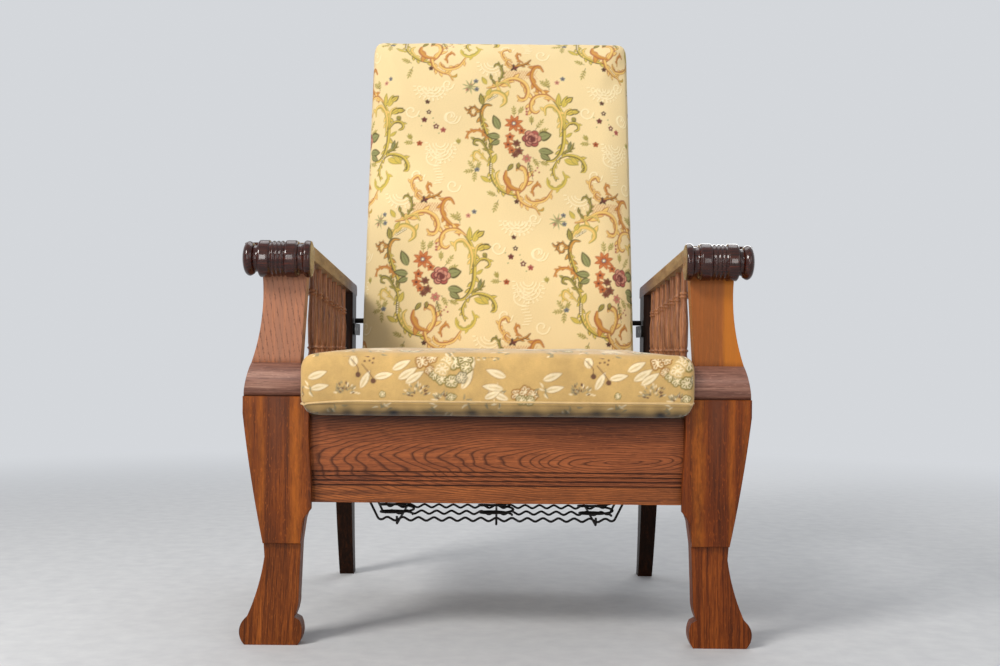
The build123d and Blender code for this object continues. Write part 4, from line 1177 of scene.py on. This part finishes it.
cushion_low, cushion_high = 338.8, 431.0
cushion_front, cushion_rear = -29.0, 435.5
cushion_halves = (287.5, (cushion_rear - cushion_front) / 2, (cushion_high - cushion_low) / 2)
cushion_radii, cushion_cell, cushion_layer = (24.0, 15.0, 23.0), 12.6, 10.2
cushion_held, cushion_swell, cushion_stiffness = 6, 6.0 * mm, 18.0
cushion_narrow, cushion_wing, wing_start, wing_run = 266.0, 21.5, -8.6, 5.0
tuck_side, tuck_front, underside_top = 4.0, 5.0, 345
cushion_clear_half, wing_half, wing_rear = 268, 288.5, -8.7
cushion_ahead, cushion_behind, cushion_top = -33, 437, 437
cloth_front, cloth_top, cloth_depth = -30, 435, 467
welt_height, crease_height, piping_height = 427.0, 369, 359.0
piping_radius, piping_sides, piping_sink = 1.6 * mm, 10, 0.3 * mm
droop_start, droop_run, droop_depth = -0.19, 0.09, 5 * mm


def cushion_half_width(depth):
    """Wider in front of the leg blocks."""
    share = np.clip((wing_start - depth) / wing_run, 0, 1)
    share = share * share * (3 - 2 * share)
    return cushion_narrow + cushion_wing * share


def cushion_shape(corners):
    """Round above and below, drawn in a little more under the piping, with wings at the front."""
    middle = np.array([0, (cushion_front + cushion_rear) / 2, (cushion_low + cushion_high) / 2])
    made = rounded(corners, cushion_halves, cushion_radii) + middle
    below = np.clip((piping_height - made[:, 2]) / (piping_height - cushion_low), 0, 1) ** 1.5
    made[:, 0] -= np.sign(made[:, 0]) * tuck_side * below * (np.abs(made[:, 0]) / cushion_halves[0]) ** 8
    made[:, 1] += tuck_front * below * np.clip((made[:, 1] + 12) / -18, 0, 1)
    made[:, 0] *= cushion_half_width(made[:, 1]) / cushion_halves[0]
    return made


def keep_cushion_clear(piece):
    """Kept inside the CAD cushion's space, clear of the legs, the deck and the back."""
    local = vectors(piece.data) / mm
    local[:, 1] -= front_y / mm
    limit = np.where(local[:, 1] > wing_rear, cushion_clear_half, wing_half)
    local[:, 0] = np.clip(local[:, 0], -limit, limit)
    wing = np.abs(local[:, 0]) > cushion_clear_half + 0.2
    local[:, 1] = np.where(wing, np.minimum(local[:, 1], wing_rear + 0.5), local[:, 1])
    local[:, 1] = np.clip(local[:, 1], cushion_ahead, cushion_behind)
    local[:, 2] = np.clip(local[:, 2], cushion_low, cushion_top)
    local[:, 1] += front_y / mm
    move_points(piece.data, local * mm)


def seam_loop(world, corners, heights):
    """The ring of points on the grid line nearest the piping, in order round the cushion."""
    off = np.abs(heights - (piping_height - (cushion_high + cushion_low) / 2))
    chosen = np.flatnonzero(np.abs(corners[:, 2] - heights[np.argmin(off)]) < 0.1)
    turn = np.arctan2(corners[chosen, 1] / cushion_halves[1], corners[chosen, 0] / cushion_halves[0])
    return world[chosen][np.argsort(turn)]


def on_surface(world, seam):
    """The ring moved onto the finished cloth, each point at its own height."""
    tree = KDTree(len(world))
    for number, place in enumerate(world):
        tree.insert(place, number)
    tree.balance()
    found = np.array([tree.find(place)[0] for place in seam])
    found[:, 2] = seam[:, 2]
    return found


def wrinkle_cushion(piece):
    """Small wrinkles above the piping, a shallow welt and an uneven surface."""
    world, away = vectors(piece.data), vectors(piece.data, "normal")
    local = world / mm
    upright = 1 - np.abs(away[:, 2])
    lift = soft_noise(local, 120, 31, 0.6) + soft_noise(local, 38, 32, 0.3)
    near_seam = np.exp(-((local[:, 2] - crease_height) / 9) ** 2) * upright
    creases = np.sin(local[:, 0] / 5.1 + 2.4 * np.sin(local[:, 0] / 23)) * soft_noise(local, 60, 33, 1.0)
    lift += 0.5 * near_seam * np.abs(creases)
    lift -= 0.8 * np.exp(-((local[:, 2] - welt_height) / 1.8) ** 2) * upright
    lift = np.where(local[:, 2] < underside_top, 0, lift)
    move_points(piece.data, world + away * lift[:, None] * mm)


def cushion_places(world, away):
    """Where each point lies on the cloth, which turns down the front and the sides."""
    local = world / mm
    depth = local[:, 1] - front_y / mm - cloth_front
    down = cloth_top - local[:, 2]
    face = np.argmax(np.abs(away) * np.array([1.0, 1.0, 1.15]), axis=1)
    across = local[:, 0] + np.where(face == 0, np.sign(local[:, 0]) * down, 0)
    along = np.where(face == 1, np.where(depth < 100, -down, cloth_depth + down), depth)
    return np.stack([across, np.where(away[:, 2] < -0.8, depth, along)], 1)


def cushion_shade(world, away):
    """Painted shade: dark just under the piping, darker and greyer below it, a little darker down the front
    and on the sides; mottled where the pile lies over.
    """
    local = world / mm
    # Painted shade below the piping, in the crease just under it, down the front and on the sides.
    below = np.clip((piping_height - local[:, 2]) / 14, 0, 1)
    piping_shadow = np.exp(-((local[:, 2] - piping_height + 3.6) / 1.6) ** 2) * (1 - np.abs(away[:, 2]))
    blotches = soft_noise(local, 26, 42, 0.10) * (0.3 + below)
    down = np.clip((cushion_high - local[:, 2]) / (cushion_high - piping_height), 0, 1)
    shade = (1.02 - 0.15 * down) * (1 - 0.76 * below) * (1 - 0.45 * piping_shadow)
    shade = shade + soft_noise(local, 90, 41, 0.05) + blotches
    return shade * (1 - 0.10 * np.clip(np.abs(away[:, 0]), 0, 1))


def make_cushion():
    """The seat cushion: one boxed shell with a drawn-in underside and a soft crown."""
    heights = spaced(cushion_halves[2], cushion_layer)
    corners, faces = box_shell(spaced(cushion_halves[0], cushion_cell, (6.0,)),
                               spaced(cushion_halves[1], cushion_cell, (6.0, 17.0)), heights)
    world = cushion_shape(corners) * mm + np.array([0, front_y, 0])
    piece = mesh_object("seat_cushion_velvet", world, faces)
    held = (corners[:, 2] < cushion_held - cushion_halves[2]) | (corners[:, 1] > cushion_halves[1] - 1)
    inflate(piece, held, cushion_swell, (0, 1, 2), stiffness=cushion_stiffness)
    keep_cushion_clear(piece)
    seam = seam_loop(vectors(piece.data), corners, heights)
    subdivide(piece)
    wrinkle_cushion(piece)
    material = woven("velvet", 0.9 * mm, 0.6 * mm, 0.45, 0.8, nap=0.55)
    world, away = vectors(piece.data), vectors(piece.data, "normal")
    dress_cloth(piece, velvet(), cushion_places(world, away), cushion_shade(world, away), material)
    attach(piece, "seat_cushion")
    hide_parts("seat_cushion")
    make_piping(on_surface(world, seam), material)


def make_piping(seam, material):
    """A velvet cord round the cushion's lower seam."""
    start = smooth(np.vstack([seam, seam[:2]]), 4)[:-4]
    ways = np.roll(start, -1, axis=0) - np.roll(start, 1, axis=0)
    ways /= np.linalg.norm(ways, axis=1)[:, None]
    up = np.array([0.0, 0.0, 1.0])
    out = np.cross(ways, up)
    out /= np.linalg.norm(out, axis=1)[:, None]
    out *= np.sign(np.sum(out * (start - start.mean(axis=0)), axis=1).sum())
    middle = start - out * piping_sink
    droop = np.clip((droop_start - middle[:, 0]) / droop_run, 0, 1) ** 2 * droop_depth
    middle[:, 2] -= droop * (middle[:, 1] < front_y)
    corners, places = [], []
    run = np.concatenate([[0], np.cumsum(np.linalg.norm(np.diff(middle, axis=0), axis=1))]) / mm
    for number, place in enumerate(middle):
        for step in range(piping_sides):
            turn = 2 * math.pi * step / piping_sides
            corners.append(place + piping_radius * (math.cos(turn) * out[number] + math.sin(turn) * up))
            places.append((run[number], 150 + 20 * turn / math.pi))
    faces = [(a, b, c, d) for a, d, c, b in ring_faces(len(middle), piping_sides, closed=True)]
    piece = mesh_object("cushion_piping", corners, faces)
    shade_smooth(piece.data)
    plain = Cloth((20, 20), srgb(214, 180, 124))
    dress_cloth(piece, plain, np.array(places), np.full(len(places), 0.96), material)
    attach(piece, "seat_cushion")


# Turned wood. Stations are place, radius and swell in millimetres.

roll_stations = (
    (0.0, 0.5, 0.0), (0.2, 15.0, 0.8), (3.0, 22.0, 0.9), (9.0, 25.2, 0.4), (14.6, 22.0, 0.0),
    (16.2, 19.6, -0.5), (21.8, 19.6, 0.0), (22.4, 25.0, 0.2), (24.4, 27.0, 0.0), (37.4, 27.0, 0.2),
    (39.4, 25.0, 0.0), (41.0, 24.2, 2.0), (47.2, 24.2, 2.0), (53.4, 24.2, 2.0), (59.6, 24.2, 0.0),
    (61.0, 25.0, 0.2), (63.0, 27.0, 0.0), (76.0, 27.0, 0.2), (78.0, 25.4, 0.0), (79.4, 25.2, 0.0),
    (79.8, 23.4, -1.6), (88.0, 23.4, 0.0), (88.4, 25.2, 0.9), (93.5, 26.8, 0.3), (98.0, 25.6, 0.3),
    (99.0, 22.0, 0.0), (99.0, 0.5, 0.0),
)
roll_axis = (-10.0, 565.0)
roll_flat_y, roll_outer = 8.0, 369.0
least_radius = 0.05
spindle_count = 7


def arc_profile(stations, steps=6):
    """Rounded beads and hollows between the stations."""
    made = []
    for (start, radius, swell), (end, next_radius, _) in zip(stations, stations[1:]):
        for share in np.linspace(0, 1, steps, endpoint=False):
            bulge = swell * math.sin(math.pi * share)
            made.append((start + (end - start) * share, radius + (next_radius - radius) * share + bulge))
    made.append(stations[-1][:2])
    return made


def lathe(name, profile, place, sides):
    """A turned solid along the profile's own axis. place gives the frame of each point."""
    corners = []
    for run, radius in profile:
        radius = max(radius, least_radius) * mm
        for step in range(sides):
            turn = 2 * math.pi * step / sides
            corners.append(place(run * mm, radius * math.cos(turn), radius * math.sin(turn)))
    faces = ring_faces(len(profile), sides)
    faces.append(tuple(range(sides)))
    faces.append(tuple(reversed(range(len(corners) - sides, len(corners)))))
    piece = mesh_object(name, corners, faces)
    shade_smooth(piece.data)
    edit_mesh(piece, turn_outward)
    return piece


def make_rolls():
    material = mahogany()
    for name, sign in (("left", -1), ("right", 1)):
        def place(run, across, up):
            y = min(roll_axis[0] * mm + across, roll_flat_y * mm)
            return (sign * (roll_outer * mm - run), front_y + y, roll_axis[1] * mm + up)
        piece = lathe(f"turned_roll_{name}", arc_profile(roll_stations), place, 72)
        piece.data.materials.append(material)
        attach(piece, "frame")
        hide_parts(f"arm_roll_{name}")


def spindle_stations(length):
    """A low vase, a ring, a long shaft, and two rings below the arm."""
    seat, ring, upper = 10.0, 112.0, length - 46.0
    return (
        (0.0, 0.4, 0.0), (0.1, 4.8, 0.0), (seat + 6, 4.8, 0.0), (seat + 34, 4.7, 0.2), (seat + 58, 5.6, 0.5),
        (seat + 84, 6.9, 0.0), (ring - 9, 5.2, 0.0), (ring - 5, 5.6, 1.9), (ring, 5.4, 0.0),
        (ring + 5, 6.2, 0.0), (ring + 40, 6.9, 0.0), (upper - 14, 5.0, 0.0), (upper - 10, 5.2, 1.8),
        (upper - 5, 5.2, 0.0), (upper - 4.6, 5.2, 1.8), (upper + 0.4, 5.0, 0.0), (upper + 12, 4.7, 0.0),
        (length - 0.3, 4.7, 0.0), (length - 0.2, 0.4, 0.0),
    )


def make_spindles():
    shades = srgb(196, 134, 92), srgb(148, 96, 64), srgb(84, 50, 34)
    material = oak("turned_oak", "z", shades, (0.3, 0, 0), 8 * mm, 0.04, gloss=0.32, shine=0.3)
    for side in ("left", "right"):
        for number in range(1, spindle_count + 1):
            node = f"spindle_{side}_{number}"
            low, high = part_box(node)

            def place(run, across, up):
                return ((low[0] + high[0]) / 2 + across, (low[1] + high[1]) / 2 + up, low[2] + run)
            profile = arc_profile(spindle_stations(high[2] / mm - low[2] / mm), 5)
            piece = lathe(f"turned_{node}", profile, place, 28)
            piece.data.materials.append(material)
            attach(piece, "frame")
            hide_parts(node)


# Sheets of plain cloth

deck_cell, deck_sag, deck_drop = 9 * mm, 0.35 * mm, 0.1 * mm
lining_half, lining_low, lining_high = 241.5, 6.0, 713.5
lining_cell, lining_half_thick, lining_behind = 7, 0.7, -2.2
pucker_depth, pucker_pitch, pucker_reach = 0.45, 9.5, 14
tack_inset, tacks_across, tacks_up = 6, 17, 22
tack_rings, tack_sides = ((3.2, -0.9), (3.0, -0.2), (1.8, 0.35)), 10


def make_deck_cloth():
    """Hessian over the springs, a little lower between them."""
    low, high = np.array(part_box("deck_cloth"))
    half = (high - low) / 2
    corners, faces = box_shell(spaced(half[0], deck_cell), spaced(half[1], deck_cell),
                               np.array([-half[2], half[2]]))
    place = corners + (low + high) / 2
    inner = np.minimum(half[0] - np.abs(corners[:, 0]), half[1] - np.abs(corners[:, 1])) / 0.05
    sag = np.zeros(len(place))
    for number, waves in enumerate(((41, 37), (23, 61), (67, 29))):
        sag += np.sin(place[:, 0] * waves[0] + number) * np.sin(place[:, 1] * waves[1])
    place[:, 2] -= (deck_sag * np.abs(sag) + deck_drop) * np.clip(inner, 0, 1)
    piece = mesh_object("deck_hessian", place, faces)
    piece.data.materials.append(linen("deck_linen", srgb(176, 150, 108), srgb(126, 104, 70)))
    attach(piece, "frame")
    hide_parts("deck_cloth")


def make_back_cloth():
    """Dark cloth tacked over the rear of the back, a little puckered between its tacks."""
    half_high = (lining_high - lining_low) / 2
    corners, faces = box_shell(spaced(lining_half, lining_cell), np.array([-1, 1]) * lining_half_thick,
                               spaced(half_high, lining_cell))
    place = corners + np.array([0, lining_behind, (lining_low + lining_high) / 2])
    edge = np.minimum(lining_half - np.abs(corners[:, 0]), half_high - np.abs(corners[:, 2]))
    beside = np.abs(corners[:, 0]) > np.abs(corners[:, 2]) * 0.68
    pucker = np.sin(np.where(beside, corners[:, 2], corners[:, 0]) / pucker_pitch)
    slack = pucker_depth * pucker * np.exp(-np.clip(edge, 0, 99) / pucker_reach)
    place[:, 1] += slack - 0.5 * np.clip(edge / 120, 0, 1)
    piece = mesh_object("back_lining", place * mm, faces)
    piece.data.transform(back_place)
    piece.data.materials.append(linen("back_linen", srgb(58, 50, 44), srgb(38, 33, 30)))
    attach(piece, "backrest")
    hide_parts("back_cloth")
    make_tacks(lining_half - tack_inset, lining_low + tack_inset, lining_high - tack_inset)


def make_tacks(half, low, high):
    """Small domed tack heads round the lining."""
    spots = []
    for number in range(tacks_across):
        x = -half + 2 * half * number / (tacks_across - 1)
        spots += [(x, low), (x, high)]
    for number in range(1, tacks_up + 1):
        z = low + (high - low) * number / (tacks_up + 1)
        spots += [(-half, z), (half, z)]
    corners, faces = [], []
    for x, z in spots:
        faces += ring_faces(len(tack_rings), tack_sides, len(corners))
        for radius, rise in tack_rings:
            for step in range(tack_sides):
                turn = 2 * math.pi * step / tack_sides
                corners.append((x + radius * math.cos(turn), -1.3 + rise * 0.8, z + radius * math.sin(turn)))
        faces.append(tuple(reversed(range(len(corners) - tack_sides, len(corners)))))
    piece = mesh_object("lining_tacks", np.array(corners) * mm, faces)
    piece.data.transform(back_place)
    piece.data.materials.append(old_steel())
    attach(piece, "backrest")


# Floor and backdrop

def make_floor():
    """A pale floor that fades into the backdrop's colour away from the chair."""
    near, far = -floor_half, floor_half
    floor = mesh_object("floor", [(near, near, 0), (far, near, 0), (far, far, 0), (near, far, 0)],
                        [(0, 1, 2, 3)])
    nodes = Finish("pale_floor")
    grain = nodes.ramp(nodes.noise(30, 5.0), (0.3, srgb(206, 207, 209)), (0.7, srgb(216, 217, 218)))
    nodes.set(base_color=grain, roughness=0.9, specular_ior_level=0.1)
    reach = nodes.add("VectorMath", {0: nodes.place()}, operation="LENGTH").outputs["Value"]
    share = nodes.times(nodes.span(reach, *floor_fade), nodes.seen_by_camera())
    show(nodes, share, nodes.shader, nodes.add("Emission", {"Color": backdrop}), "Material Output")
    floor.data.materials.append(nodes.material)


def make_world():
    """A soft world that the camera, gloss and glass see as a pale backdrop."""
    world = bpy.data.worlds.new("studio")
    bpy.context.scene.world = world
    world.use_nodes = True
    nodes = Nodes(world.node_tree)
    soft = nodes.tree.nodes["Background"]
    nodes.feed(soft_light, soft.inputs["Color"])
    nodes.feed(soft_strength, soft.inputs["Strength"])
    show(nodes, nodes.seen_by_camera(), soft, nodes.add("Background", {"Color": backdrop}), "World Output")


def show(nodes, share, first, second, output):
    """Links two shaders, mixed by share, to the tree's output."""
    both = nodes.add("MixShader", {0: share, 1: first.outputs[0], 2: second.outputs[0]})
    nodes.feed(both.outputs[0], nodes.tree.nodes[output].inputs["Surface"])


make_camera()
make_lights()
make_floor()
make_world()
bpy.context.scene.view_settings.view_transform = "Standard"
dress_legs()
dress_frame()
dress_metal()
make_rolls()
make_spindles()
make_deck_cloth()
make_back_cloth()
make_back_pad()
make_cushion()
